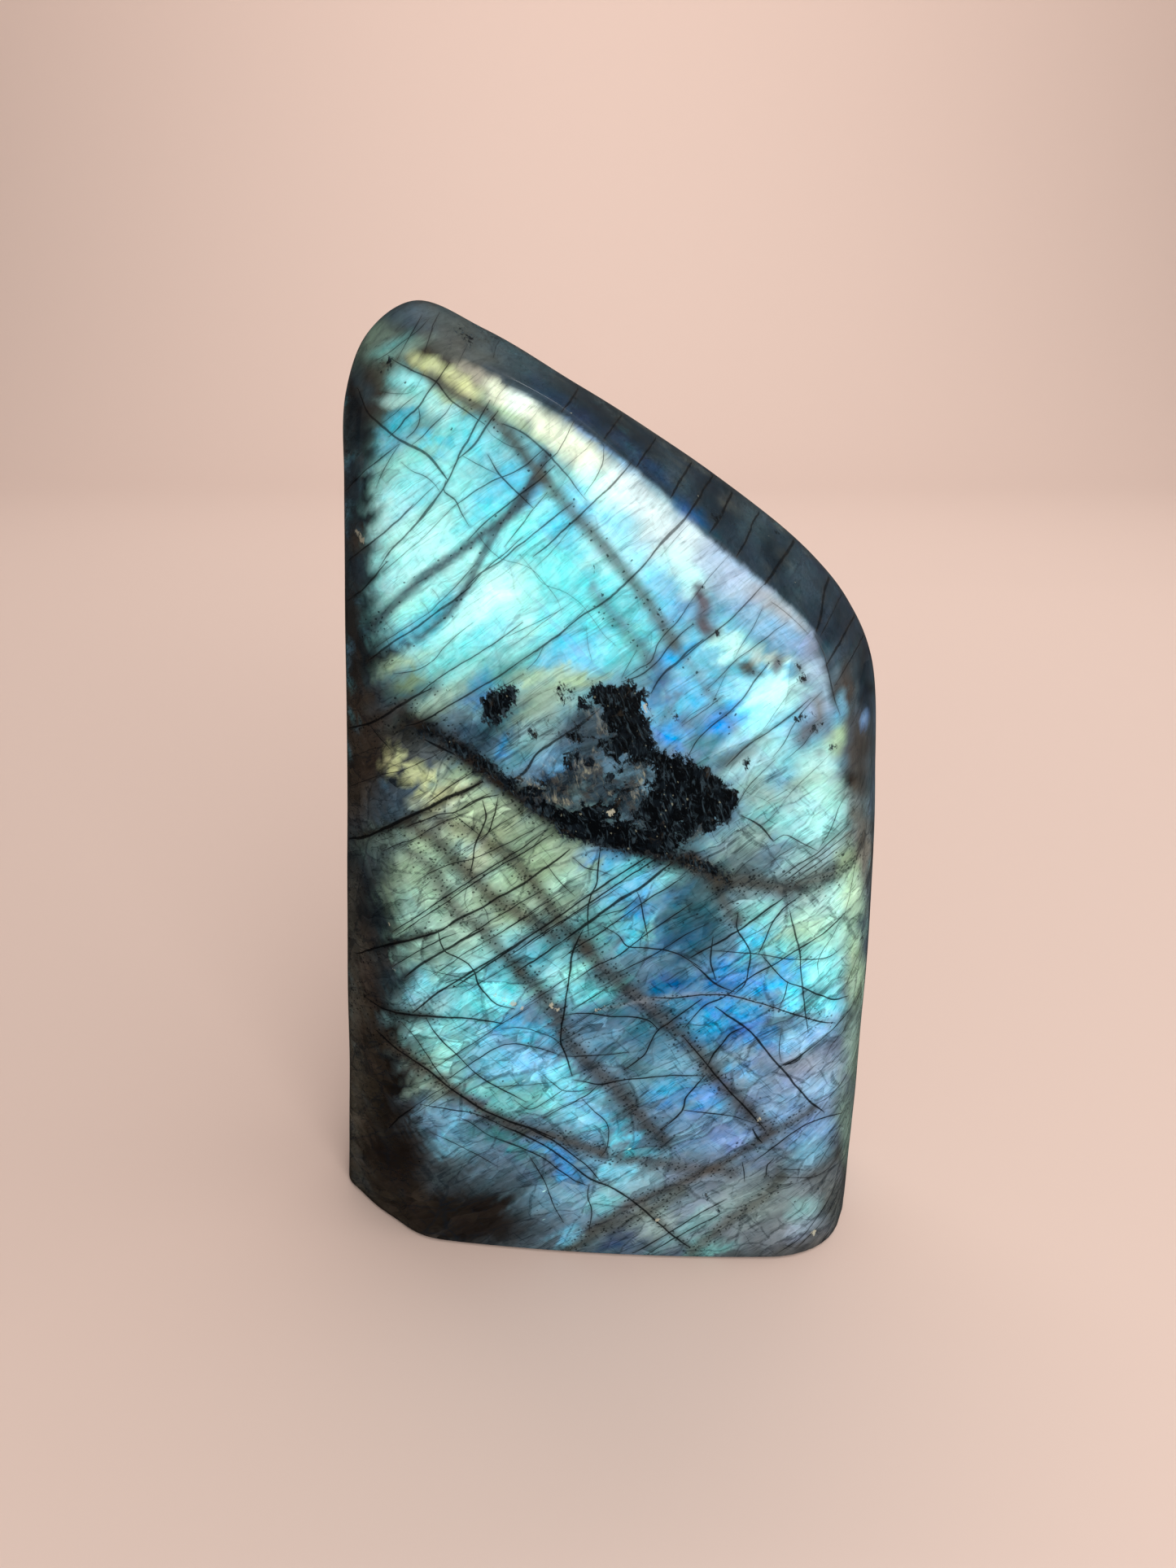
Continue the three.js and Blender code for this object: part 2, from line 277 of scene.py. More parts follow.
# The smooth body that the finished skin is laid on
def makeBody():
    steps = stoneSteps
    bevel = stoneShape["footBevel"]
    rimSteps = steps["perPost"] * (len(rimPosts) - 1)
    sections, bands = rimSections(np.linspace(0, 1, rimSteps + 1))
    ringCount = sections.shape[1]
    rimIds = np.arange((rimSteps + 1) * ringCount).reshape(rimSteps + 1, ringCount)
    points, bandOf = [sections.reshape(-1, 3)], [np.tile(bands, rimSteps + 1)]
    triangles = [splitGrid(rimIds)]

    def addPoints(new, band):
        first = sum(len(part) for part in points)
        points.append(np.asarray(new, float))
        bandOf.append(np.full(len(new), float(band)))
        return np.arange(first, first + len(new))

    shares = np.arange(1, steps["foot"]) / steps["foot"]
    footIds = {}
    for ring, surface, band in ((0, frontAt, 0), (-1, backAt, 4)):
        x = sections[-1, ring, 0] + (sections[0, ring, 0] - sections[-1, ring, 0]) * shares
        footIds[band] = addPoints(np.stack([x, surface(x, bevel), np.full_like(x, bevel)], axis=1), band)
        outer = np.vstack([sections[:, ring], points[-1]])
        middle = np.array(stoneShape["faceMiddle"])
        ids = [np.append(rimIds[:, ring], footIds[band])]
        for share in np.arange(steps["face"] - 1, 0, -1) / steps["face"]:
            x, z = (middle + (outer[:, [0, 2]] - middle) * share).T
            ids.append(addPoints(np.stack([x, surface(x, z), z], axis=1), band))
        middleId = addPoints([[middle[0], surface(middle[0], middle[1]), middle[1]]], band)[0]
        grid = np.stack(ids, axis=1)
        grid = np.vstack([grid, grid[:1]])
        inner = grid[:, -1]
        fan = np.stack([inner[:-1], inner[1:], np.full(len(inner) - 1, middleId)], axis=1)
        triangles += [splitGrid(grid, band == 0), fan[:, ::-1] if band == 0 else fan]

    # The sawn foot, drawn in by its broken edge and closed flat
    outline = np.concatenate([rimIds[0], footIds[4][::-1], rimIds[-1][::-1], footIds[0]])
    lower = np.vstack(points)[outline]
    along = np.roll(lower, -1, axis=0) - np.roll(lower, 1, axis=0)
    along /= np.linalg.norm(along, axis=1)[:, None]
    flat = lower + np.stack([along[:, 1], -along[:, 0], np.zeros(len(along))], axis=1) * bevel
    flat[:, 2] = 0
    footRing = addPoints(flat, 2)
    footMiddle = addPoints([[0, 0, 0]], 2)[0]
    grid = np.stack([outline, footRing], axis=1)
    closed = np.append(footRing, footRing[0])
    sole = np.stack([closed[1:], closed[:-1], np.full(len(footRing), footMiddle)], axis=1)
    foot = np.vstack([splitGrid(np.vstack([grid, grid[:1]])), sole])
    triangles = np.vstack(triangles + [foot])
    place = np.vstack(points)

    # Low, wide swells all over but the foot, then the exact size of the solid
    swell = np.sin(place[:, 0] / 5.3 + place[:, 2] / 9.1) * np.sin(place[:, 2] / 6.7 + 1.3)
    swell = swell + 0.6 * np.sin(place[:, 0] / 3.1 - place[:, 2] / 4.3 + place[:, 1] / 4 + 0.7)
    fade = np.clip((place[:, 2] - 2) / 8, 0, 1)
    place = place + vertexNormals(place, triangles) * (swell * fade * stoneShape["waviness"])[:, None]
    low, high = np.array(cadBox[0]) / mm, np.array(cadBox[1]) / mm
    share = (place - place.min(axis=0)) / (place.max(axis=0) - place.min(axis=0))
    place = low + (high - low) * share
    normals = vertexNormals(place, triangles)
    normals[np.append(footRing, footMiddle)] = (0, 0, -1)
    return {
        "place": place,
        "normals": normals,
        "band": np.concatenate(bandOf),
        "triangles": triangles,
        "foot": foot,
        "rimIds": rimIds,
        "footIds": footIds,
        "frontEnd": int(np.argmin(abs(bands - 2))),
        "backStart": int(np.argmin(abs(bands - 3.3))),
    }


body = makeBody()
surface = BVHTree.FromPolygons(body["place"].tolist(), body["triangles"].tolist())
print("body shaped:", len(body["triangles"]), "triangles")

# Camera, as close to the stone and looking down as in the photograph
cameraSetting = {
    "place": (-1.5, -176.5, 150.0),
    "lookDown": 22.0,
    "focal": 1448.0,  # pixels, on an image of 1445 by 1927
    "middle": (722.5, 963.5),
    "imageHeight": 1927.0,
    "sensor": 36.0,
}
lookDown = math.radians(cameraSetting["lookDown"])
ahead = np.array([0, math.cos(lookDown), -math.sin(lookDown)])
upward = np.array([0, math.sin(lookDown), math.cos(lookDown)])
eye = np.array(cameraSetting["place"])


# Where a spot of the photograph lies on the stone, in millimetres
def spotOnStone(u, v):
    across = (u - cameraSetting["middle"][0]) / cameraSetting["focal"]
    down = (v - cameraSetting["middle"][1]) / cameraSetting["focal"]
    hit = surface.ray_cast(Vector(eye), Vector(ahead + np.array([across, 0, 0]) - upward * down))
    return None if hit[0] is None else np.array(hit[0])


# Where places on the stone show in the photograph
def spotInPhoto(place):
    offset = place - eye
    depth = offset @ ahead
    u = cameraSetting["middle"][0] + cameraSetting["focal"] * offset[:, 0] / depth
    v = cameraSetting["middle"][1] - cameraSetting["focal"] * (offset @ upward) / depth
    return np.stack([u, v], axis=1)


noiseSize = 64
noiseTable = np.random.default_rng(7).random((noiseSize, noiseSize))


# Smooth noise from 0 to 1 over two numbers
def softNoise(a, b):
    ia, ib = np.floor(a).astype(int), np.floor(b).astype(int)
    fa, fb = a - ia, b - ib
    fa, fb = fa * fa * (3 - 2 * fa), fb * fb * (3 - 2 * fb)
    corner = [noiseTable[(ia + da) % noiseSize, (ib + db) % noiseSize] for da in (0, 1) for db in (0, 1)]
    return (corner[0] * (1 - fb) + corner[1] * fb) * (1 - fa) + (corner[2] * (1 - fb) + corner[3] * fb) * fa


def smoothStep(low, high, value):
    share = np.clip((value - low) / (high - low), 0, 1)
    return share * share * (3 - 2 * share)


# Numbers read as across, down, across, down become a row of spots
def courseOf(numbers):
    return np.array(numbers, float).reshape(-1, 2)


# Gap from each point to a course, and the place along the course where it is smallest
def gapTo(points, course):
    start, step = course[:-1], course[1:] - course[:-1]
    size = np.maximum((step * step).sum(axis=1), 1e-9)
    gap, at = np.empty(len(points)), np.empty(len(points))
    for first in range(0, len(points), 3000):
        part = slice(first, first + 3000)
        offset = points[part, None, :] - start[None]
        share = np.clip((offset * step).sum(axis=2) / size, 0, 1)
        far = np.linalg.norm(offset - share[..., None] * step[None], axis=2)
        nearest = far.argmin(axis=1)
        rows = np.arange(len(nearest))
        gap[part], at[part] = far[rows, nearest], nearest + share[rows, nearest]
    return gap, at


# How deep inside a closed outline each point lies, less than nothing outside it
def depthInside(points, outline):
    closed = np.array(list(outline) + [outline[0]], float)
    inside = np.zeros(len(points), bool)
    for a, b in zip(closed[:-1], closed[1:]):
        if a[1] != b[1]:
            crosses = (a[1] > points[:, 1]) != (b[1] > points[:, 1])
            inside ^= crosses & (points[:, 0] < a[0] + (points[:, 1] - a[1]) / (b[1] - a[1]) * (b[0] - a[0]))
    gap = gapTo(points, closed)[0]
    return np.where(inside, gap, -gap)


def nearBox(points, course, reach):
    inBox = (points > course.min(axis=0) - reach) & (points < course.max(axis=0) + reach)
    return np.nonzero(np.all(inBox, axis=1))[0]


# Tones of the stone, as they look in soft daylight
tones = {
    # the first tone is the white of the painted highlight under the ridge
    "glareWhite": (222, 244, 246),
    "cream": (228, 242, 214),
    "butter": (206, 218, 164),
    "leaf": (156, 190, 158),
    "moss": (112, 134, 92),
    "sage": (130, 160, 146),
    "paleMint": (182, 240, 238),
    "mint": (142, 226, 228),
    "seaGreen": (106, 182, 182),
    "aqua": (108, 208, 224),
    "cyan": (82, 188, 224),
    "sky": (112, 188, 226),
    "azure": (58, 146, 214),
    "blue": (32, 108, 190),
    "deepBlue": (22, 80, 140),
    "nightBlue": (32, 50, 80),
    "periwinkle": (118, 158, 204),
    "lavender": (146, 168, 194),
    "lilacGrey": (142, 151, 160),
    "teal": (58, 120, 130),
    "darkTeal": (28, 60, 70),
    "steel": (98, 144, 172),
    "slate": (56, 73, 82),
    "nightSlate": (36, 48, 58),
    "ash": (82, 82, 90),
    "dusk": (26, 40, 40),
    "inkBlue": (16, 24, 31),
    "smoke": (74, 79, 74),
    "stone": (98, 97, 88),
    "umber": (58, 52, 44),
    "darkUmber": (27, 23, 19),
    "soot": (4, 6, 8),
    "tan": (124, 126, 108),
    "chip": (180, 178, 158),
}


def toneOf(name):
    value = np.array(tones[name]) / 255
    return np.where(value <= 0.04045, value / 12.92, ((value + 0.055) / 1.055) ** 2.4)


# How the fields run along the layers: rise in degrees, thickness of a layer and reach in photograph
# pixels, and the ridge beside which they stay smooth
stoneFlow = {
    "rise": 35,
    "layer": 8.0,
    "faceReach": 30,
    "sideReach": 16,
    "ridge": (
        430, 470, 480, 430, 530, 430, 610, 470, 700, 530, 800, 600, 900, 680, 1000, 770, 1040, 850,
        1046, 1000, 1050, 1300, 1040, 1520,
    ),
}

# Fields of flash and of dull stone, and a painted highlight under the ridge, laid one over the other:
# tone, middle across and down in the photograph, half length, half width, turn in degrees, strength
facePatches = [
    ("steel", 760, 1000, 330, 560, 0, 0.8),
    # the upper left
    ("mint", 590, 690, 190, 170, -40, 1),
    ("aqua", 700, 730, 120, 70, -40, 0.9),
    ("paleMint", 490, 640, 60, 60, 0, 0.6),
    ("paleMint", 560, 680, 50, 32, 35, 0.5),
    ("paleMint", 610, 745, 60, 50, 30, 0.9),
    ("paleMint", 490, 725, 40, 26, 30, 0.5),
    ("aqua", 590, 650, 50, 26, 35, 0.6),
    ("cyan", 530, 760, 62, 18, 38, 0.8),
    ("cyan", 620, 600, 60, 30, 40, 0.8),
    ("cyan", 690, 640, 46, 30, 40, 0.7),
    ("azure", 655, 605, 24, 14, 40, 0.6),
    ("aqua", 575, 540, 50, 30, -40, 0.8),
    ("mint", 510, 478, 36, 22, -30, 1),
    ("paleMint", 490, 492, 26, 10, 0, 0.8),
    ("cyan", 492, 518, 36, 14, 38, 0.8),
    ("sky", 478, 548, 30, 12, 30, 0.6),
    ("cyan", 528, 546, 30, 8, -36, 0.6),
    ("paleMint", 540, 500, 24, 20, 0, 0.7),
    ("sky", 740, 640, 60, 26, -40, 0.8),
    ("sky", 775, 685, 60, 28, -40, 0.8),
    ("aqua", 755, 730, 40, 24, -45, 0.7),
    ("sky", 810, 735, 50, 30, -40, 0.8),
    ("sky", 722, 792, 70, 40, 20, 0.8),
    ("cyan", 690, 792, 60, 14, 38, 0.7),
    ("aqua", 590, 785, 70, 20, 38, 0.8),
    ("seaGreen", 560, 830, 74, 22, 34, 0.8),
    ("leaf", 490, 812, 36, 16, 20, 0.9),
    ("moss", 505, 838, 34, 12, 20, 0.8),
    ("darkTeal", 488, 856, 30, 14, 20, 0.6),
    ("seaGreen", 620, 826, 46, 12, 36, 0.7),
    ("sage", 530, 868, 60, 14, 30, 0.9),
    # the bright band under the ridge: a painted highlight, soft glare of a light on the rounded edge, laid
    # over the flash
    ("butter", 532, 452, 42, 12, -34, 0.75),
    ("butter", 568, 475, 34, 16, -40, 1),
    ("leaf", 556, 492, 30, 7, -32, 0.8),
    ("leaf", 640, 522, 66, 9, -33, 0.9),
    ("chip", 588, 462, 32, 11, -32, 0.6),
    ("cream", 612, 486, 24, 13, -35, 0.9),
    ("glareWhite", 640, 497, 26, 12, -30, 0.8),
    ("cream", 668, 522, 50, 18, -38, 0.85),
    ("cream", 718, 560, 52, 26, -44, 0.8),
    ("paleMint", 736, 598, 34, 22, -44, 0.9),
    ("glareWhite", 780, 610, 56, 28, -44, 0.65),
    ("glareWhite", 832, 664, 58, 36, -44, 0.6),
    ("paleMint", 840, 702, 40, 20, -44, 0.8),
    ("periwinkle", 726, 532, 80, 8, -40, 0.9),
    ("lavender", 885, 690, 34, 26, -40, 0.9),
    ("lavender", 920, 725, 50, 28, -40, 0.9),
    ("lilacGrey", 960, 752, 60, 14, -38, 1),
    # right of the middle
    ("sky", 880, 790, 50, 40, 0, 0.9),
    ("paleMint", 895, 795, 34, 20, -20, 0.9),
    ("periwinkle", 925, 765, 44, 22, -30, 0.8),
    ("periwinkle", 970, 785, 36, 18, -30, 0.9),
    ("cyan", 930, 860, 60, 50, 30, 1),
    ("paleMint", 960, 850, 46, 28, 30, 0.9),
    ("cream", 945, 812, 34, 12, -20, 0.4),
    ("sky", 969, 826, 9, 12, 0, 1),
    ("lavender", 1005, 850, 24, 50, 0, 0.6),
    ("azure", 830, 808, 22, 13, 30, 1),
    ("sky", 850, 840, 22, 34, 30, 0.8),
    ("cyan", 855, 862, 24, 12, 35, 0.9),
    ("azure", 830, 900, 18, 20, 30, 1),
    ("azure", 886, 890, 30, 17, 38, 1),
    ("azure", 905, 922, 26, 9, 30, 0.8),
    ("sky", 802, 868, 16, 24, 0, 0.6),
    ("teal", 862, 920, 20, 22, 30, 0.7),
    ("sky", 960, 915, 50, 26, 35, 0.6),
    ("paleMint", 1005, 935, 30, 22, 35, 0.7),
    ("steel", 935, 940, 40, 24, 35, 0.5),
    ("sage", 930, 972, 30, 26, 35, 0.6),
    ("sage", 985, 975, 50, 26, 20, 0.6),
    ("sky", 960, 955, 22, 14, 30, 0.6),
    ("aqua", 1010, 1000, 26, 34, 10, 0.7),
    ("leaf", 1030, 905, 10, 28, -10, 0.9),
    ("sky", 1028, 880, 12, 14, 0, 0.7),
    ("sage", 920, 1030, 60, 26, 30, 0.7),
    ("seaGreen", 965, 1015, 50, 20, -20, 0.7),
    ("lavender", 1000, 1060, 44, 15, 30, 0.8),
    # inside the dark eye
    ("sage", 665, 860, 60, 30, 30, 1),
    ("leaf", 710, 835, 34, 12, 10, 0.9),
    ("leaf", 655, 832, 50, 9, 14, 0.8),
    ("azure", 592, 838, 17, 14, 30, 1),
    ("blue", 580, 862, 18, 12, 40, 0.8),
    ("slate", 720, 900, 46, 34, 30, 0.9),
    ("teal", 640, 925, 40, 20, 35, 0.7),
    ("azure", 618, 920, 11, 12, 30, 0.8),
    ("steel", 680, 935, 40, 22, 30, 0.9),
    ("azure", 690, 945, 22, 12, 30, 0.6),
    ("smoke", 680, 972, 60, 14, 14, 0.7),
    # the dull stretch at the left and the green one beside it
    ("umber", 460, 920, 60, 70, 0, 0.9),
    ("smoke", 520, 925, 60, 30, -20, 0.8),
    ("slate", 465, 1000, 46, 24, 20, 0.7),
    ("butter", 492, 938, 28, 11, -40, 0.8),
    ("butter", 516, 960, 30, 16, -40, 0.9),
    ("leaf", 565, 958, 34, 22, 20, 0.8),
    ("butter", 540, 985, 34, 14, 30, 0.7),
    ("sage", 470, 1030, 50, 18, 20, 0.7),
    ("slate", 470, 1065, 34, 30, 0, 0.7),
    ("leaf", 580, 1010, 40, 26, 30, 0.9),
    ("cream", 612, 1000, 34, 18, 30, 0.9),
    ("butter", 612, 1030, 34, 16, 30, 0.9),
    ("leaf", 530, 1050, 44, 20, -38, 0.9),
    ("paleMint", 556, 1085, 40, 22, -38, 0.8),
    ("cream", 590, 1058, 26, 18, 0, 0.9),
    ("aqua", 520, 1105, 40, 26, 20, 1),
    ("sky", 512, 1105, 18, 10, 20, 1),
    ("seaGreen", 618, 1078, 26, 20, 0, 0.8),
    ("leaf", 592, 1105, 36, 16, 30, 0.8),
    ("leaf", 625, 1130, 36, 26, 30, 0.9),
    ("paleMint", 560, 1148, 34, 15, 28, 0.9),
    ("leaf", 670, 1070, 60, 50, 20, 0.9),
    ("sage", 650, 1015, 40, 16, 25, 0.7),
    ("mint", 700, 1085, 40, 24, 20, 0.5),
    ("leaf", 690, 1120, 46, 20, 30, 0.6),
    # the blue stretch in the middle
    ("azure", 745, 1052, 30, 18, 20, 0.9),
    ("aqua", 780, 1065, 40, 16, 30, 0.7),
    ("mint", 825, 1080, 34, 18, 25, 0.9),
    ("sky", 765, 1100, 50, 16, 33, 0.8),
    ("azure", 832, 1102, 18, 12, 20, 1),
    ("azure", 782, 1118, 16, 18, 20, 0.8),
    ("seaGreen", 730, 1140, 50, 26, 30, 0.8),
    ("cyan", 775, 1148, 24, 16, 30, 0.9),
    ("mint", 805, 1142, 16, 12, 0, 0.8),
    ("azure", 820, 1150, 14, 22, 20, 0.8),
    ("darkTeal", 855, 1135, 46, 50, 20, 0.9),
    ("deepBlue", 845, 1150, 40, 20, 30, 0.5),
    # down the right side
    ("seaGreen", 932, 1128, 26, 22, 0, 0.9),
    ("lavender", 1010, 1108, 34, 12, 20, 0.9),
    ("seaGreen", 990, 1150, 60, 40, 20, 1),
    ("leaf", 992, 1138, 30, 18, 20, 0.7),
    ("mint", 1030, 1090, 14, 50, -20, 0.5),
    ("cyan", 926, 1156, 22, 16, 20, 1),
    ("azure", 898, 1196, 27, 24, 0, 1),
    ("azure", 968, 1188, 20, 14, -30, 1),
    ("aqua", 1005, 1196, 28, 26, 0, 1),
    ("mint", 1020, 1190, 22, 22, 0, 0.7),
    ("azure", 940, 1212, 30, 15, 10, 1),
    ("cyan", 974, 1228, 18, 20, 0, 1),
    ("aqua", 1008, 1240, 28, 18, 20, 0.9),
    ("sky", 1000, 1262, 30, 20, 20, 0.9),
    ("blue", 878, 1262, 46, 30, 20, 1),
    ("azure", 866, 1232, 22, 9, 0, 0.8),
    ("deepBlue", 826, 1210, 22, 16, 0, 1),
    ("steel", 835, 1245, 30, 22, 0, 0.7),
    ("azure", 938, 1272, 24, 17, -40, 0.7),
    ("sky", 974, 1284, 22, 18, 0, 1),
    ("slate", 910, 1335, 60, 34, -40, 0.8),
    ("azure", 912, 1316, 26, 11, -10, 0.9),
    ("lilacGrey", 985, 1308, 26, 18, 20, 0.7),
    ("sky", 1002, 1340, 28, 16, 10, 0.6),
    ("steel", 970, 1360, 40, 22, 20, 0.9),
    ("periwinkle", 995, 1390, 34, 14, 30, 0.8),
    ("steel", 990, 1420, 34, 20, 30, 0.9),
    ("azure", 865, 1350, 28, 14, -10, 0.9),
    ("periwinkle", 895, 1400, 30, 22, -20, 0.8),
    ("steel", 830, 1385, 40, 30, 0, 0.8),
    # the lower left and middle
    ("aqua", 620, 1190, 90, 40, 30, 0.9),
    ("mint", 590, 1170, 60, 18, 30, 0.8),
    ("sky", 518, 1218, 26, 22, 10, 1),
    ("aqua", 600, 1235, 44, 16, 10, 0.9),
    ("mint", 690, 1200, 44, 28, 20, 0.9),
    ("aqua", 560, 1262, 44, 13, 0, 0.9),
    ("mint", 550, 1292, 30, 22, -45, 0.9),
    ("sky", 610, 1300, 60, 30, -30, 0.9),
    ("azure", 625, 1262, 34, 8, 10, 0.8),
    ("cyan", 660, 1266, 40, 16, -14, 0.8),
    ("sky", 660, 1305, 44, 16, -10, 0.9),
    ("aqua", 690, 1322, 30, 12, 0, 0.8),
    ("aqua", 730, 1222, 40, 20, 10, 0.8),
    ("steel", 750, 1270, 50, 24, 10, 1),
    ("teal", 760, 1238, 30, 9, 0, 0.7),
    ("slate", 775, 1310, 26, 14, 30, 0.7),
    ("steel", 815, 1310, 40, 18, -10, 0.9),
    ("azure", 820, 1342, 30, 15, 10, 0.9),
    ("seaGreen", 600, 1345, 44, 14, -30, 0.8),
    ("seaGreen", 660, 1352, 50, 18, -20, 0.8),
    ("aqua", 700, 1340, 34, 14, -10, 0.8),
    ("sky", 715, 1372, 36, 26, -30, 0.9),
    ("cyan", 770, 1398, 40, 12, -40, 0.9),
    ("steel", 545, 1360, 40, 12, -10, 0.9),
    ("steel", 560, 1395, 46, 24, -20, 1),
    ("sky", 556, 1382, 24, 10, 45, 1),
    ("teal", 620, 1400, 50, 12, -28, 0.8),
    ("azure", 690, 1427, 50, 12, -36, 0.7),
    ("sky", 755, 1440, 40, 18, -36, 0.8),
    ("steel", 690, 1470, 54, 24, -20, 0.9),
    ("aqua", 742, 1480, 24, 18, 0, 0.7),
    ("sky", 698, 1518, 20, 12, 30, 0.6),
    ("slate", 620, 1470, 60, 34, 0, 0.8),
    ("nightBlue", 765, 1520, 30, 18, 20, 1),
    ("sage", 800, 1500, 30, 26, -30, 0.8),
    ("steel", 800, 1460, 34, 14, -10, 0.6),
    ("seaGreen", 860, 1500, 60, 12, 32, 0.7),
    ("seaGreen", 870, 1530, 34, 14, 10, 0.7),
    ("smoke", 950, 1500, 50, 44, 0, 0.8),
    ("sage", 920, 1475, 54, 30, 10, 0.6),
    ("seaGreen", 988, 1486, 26, 15, 20, 0.5),
    ("lavender", 985, 1512, 30, 10, 32, 0.7),
    ("smoke", 955, 1422, 26, 22, 0, 0.8),
    # the dark lower corner
    ("darkUmber", 440, 1330, 60, 110, 0, 1),
    ("darkUmber", 480, 1430, 60, 70, -20, 1),
    ("darkUmber", 545, 1490, 100, 34, -8, 1),
    ("umber", 500, 1285, 30, 14, -40, 0.8),
    ("slate", 560, 1450, 40, 18, 10, 0.6),
    ("umber", 480, 1180, 44, 16, 16, 0.8),
    ("inkBlue", 470, 1212, 40, 20, 0, 0.8),
    ("inkBlue", 470, 1130, 26, 40, 0, 0.8),
    # deeper tones round the black
    ("darkTeal", 602, 890, 50, 24, 34, 0.75),
    ("inkBlue", 580, 905, 46, 16, -36, 0.6),
    ("teal", 600, 835, 40, 22, 30, 0.5),
    ("deepBlue", 806, 850, 13, 42, 0, 0.55),
    ("inkBlue", 870, 1085, 50, 20, 10, 0.4),
    ("leaf", 1015, 985, 34, 40, 10, 0.35),
    ("leaf", 1010, 1120, 34, 50, 0, 0.35),
    ("aqua", 545, 1205, 36, 20, 20, 0.6),
    ("mint", 540, 1060, 34, 30, 30, 0.5),
    ("mint", 545, 1290, 34, 34, -30, 0.5),
    ("seaGreen", 515, 600, 44, 34, 38, 0.3),
    ("paleMint", 760, 680, 60, 34, -40, 0.5),
    ("aqua", 755, 755, 50, 36, -40, 0.6),
    ("paleMint", 925, 915, 44, 30, 35, 0.35),
    ("paleMint", 925, 845, 44, 30, 30, 0.35),
    ("leaf", 600, 1000, 44, 40, 0, 0.4),
    ("leaf", 520, 1075, 40, 40, 0, 0.4),
    ("mint", 520, 1160, 40, 40, 0, 0.4),
    ("paleMint", 520, 1240, 36, 34, 0, 0.3),
    ("leaf", 530, 1320, 36, 36, 0, 0.4),
    ("lavender", 925, 1320, 50, 40, 0, 0.35),
    ("paleMint", 1010, 1100, 44, 70, 0, 0.3),
    ("sage", 560, 860, 50, 30, 30, 0.3),
    # wide faint glazes over the lower half: shifts of tone, and painted shade that darkens the face towards
    # the bottom
    ("sage", 620, 1080, 150, 90, 30, 0.4),
    ("moss", 660, 1040, 90, 50, 20, 0.4),
    ("leaf", 540, 1150, 60, 60, 30, 0.45),
    ("seaGreen", 560, 1280, 80, 50, -20, 0.35),
    ("darkTeal", 680, 1150, 90, 50, 30, 0.3),
    ("darkTeal", 790, 1240, 80, 60, 20, 0.5),
    ("slate", 870, 1075, 70, 34, 10, 0.7),
    ("deepBlue", 850, 1230, 80, 50, 20, 0.5),
    ("sage", 960, 1090, 90, 50, 10, 0.4),
    ("slate", 830, 1390, 110, 60, -20, 0.3),
    ("stone", 890, 1480, 180, 60, 0, 0.35),
    ("periwinkle", 920, 1370, 110, 60, 0, 0.35),
    ("lavender", 880, 1480, 210, 60, 0, 0.2),
    ("butter", 560, 1000, 60, 40, 30, 0.35),
    ("leaf", 520, 1080, 60, 50, 0, 0.5),
    ("leaf", 640, 1080, 90, 60, 30, 0.35),
    ("paleMint", 930, 930, 60, 40, 30, 0.3),
    ("paleMint", 1005, 1010, 50, 60, 0, 0.35),
    ("aqua", 760, 740, 60, 60, -40, 0.4),
    ("aqua", 760, 760, 50, 44, -40, 0.6),
    ("lavender", 1005, 810, 30, 60, 0, 0.35),
    ("lavender", 1000, 1310, 50, 60, 0, 0.4),
    ("azure", 885, 1252, 64, 34, 20, 0.6),
    ("azure", 860, 1345, 40, 24, 0, 0.35),
    ("cyan", 775, 1090, 40, 40, 30, 0.35),
    ("teal", 850, 1110, 50, 40, 20, 0.3),
    ("sky", 690, 935, 26, 14, 30, 0.5),
    ("sage", 665, 905, 30, 20, 30, 0.4),
    ("leaf", 600, 1000, 40, 26, 30, 0.5),
    ("cyan", 515, 605, 40, 30, 38, 0.3),
    ("darkTeal", 845, 1150, 56, 50, 20, 0.5),
    ("teal", 850, 1240, 70, 40, 20, 0.35),
    ("leaf", 600, 1000, 50, 30, 20, 0.4),
    ("leaf", 520, 1090, 50, 40, 0, 0.4),
    ("darkUmber", 436, 1330, 46, 110, 0, 0.9),
    ("darkUmber", 462, 1425, 44, 64, -20, 0.9),
    ("darkUmber", 555, 1497, 110, 32, -8, 0.95),
    ("darkUmber", 570, 1455, 60, 24, -30, 0.5),
    ("steel", 560, 1395, 40, 20, -20, 0.5),
]

# Dull blots that keep their shape
dullBlots = [
    ("ash", 862, 738, 11, 22, 10, 1),
    ("ash", 868, 768, 22, 14, -50, 1),
    ("ash", 858, 722, 6, 6, 0, 0.8),
    ("umber", 921, 823, 12, 10, -30, 0.9),
    ("smoke", 932, 830, 10, 5, -20, 0.6),
    ("smoke", 910, 818, 7, 5, -20, 0.6),
    ("ash", 955, 817, 9, 12, 0, 0.9),
    ("ash", 980, 824, 8, 12, 20, 0.7),
    ("ash", 1004, 795, 14, 18, 30, 0.6),
    ("ash", 988, 836, 9, 6, 20, 0.8),
    ("ash", 993, 898, 26, 11, 45, 0.9),
    ("stone", 1004, 872, 7, 18, 0, 0.7),
    ("ash", 728, 724, 9, 6, 60, 0.6),
    ("ash", 1006, 925, 7, 10, 0, 0.5),
    ("umber", 900, 935, 26, 10, 35, 0.6),
    ("stone", 925, 920, 30, 12, 38, 0.5),
]

# The ground top beyond the ridge, whose lower edge is crisp
topShape = (
    570, 438, 610, 458, 650, 484, 700, 518, 735, 543, 777, 573, 819, 607, 850, 641, 893, 678, 935, 713,
    971, 744, 1000, 774, 1014, 815, 1020, 857, 1030, 890, 1110, 890, 1110, 300, 600, 300,
)

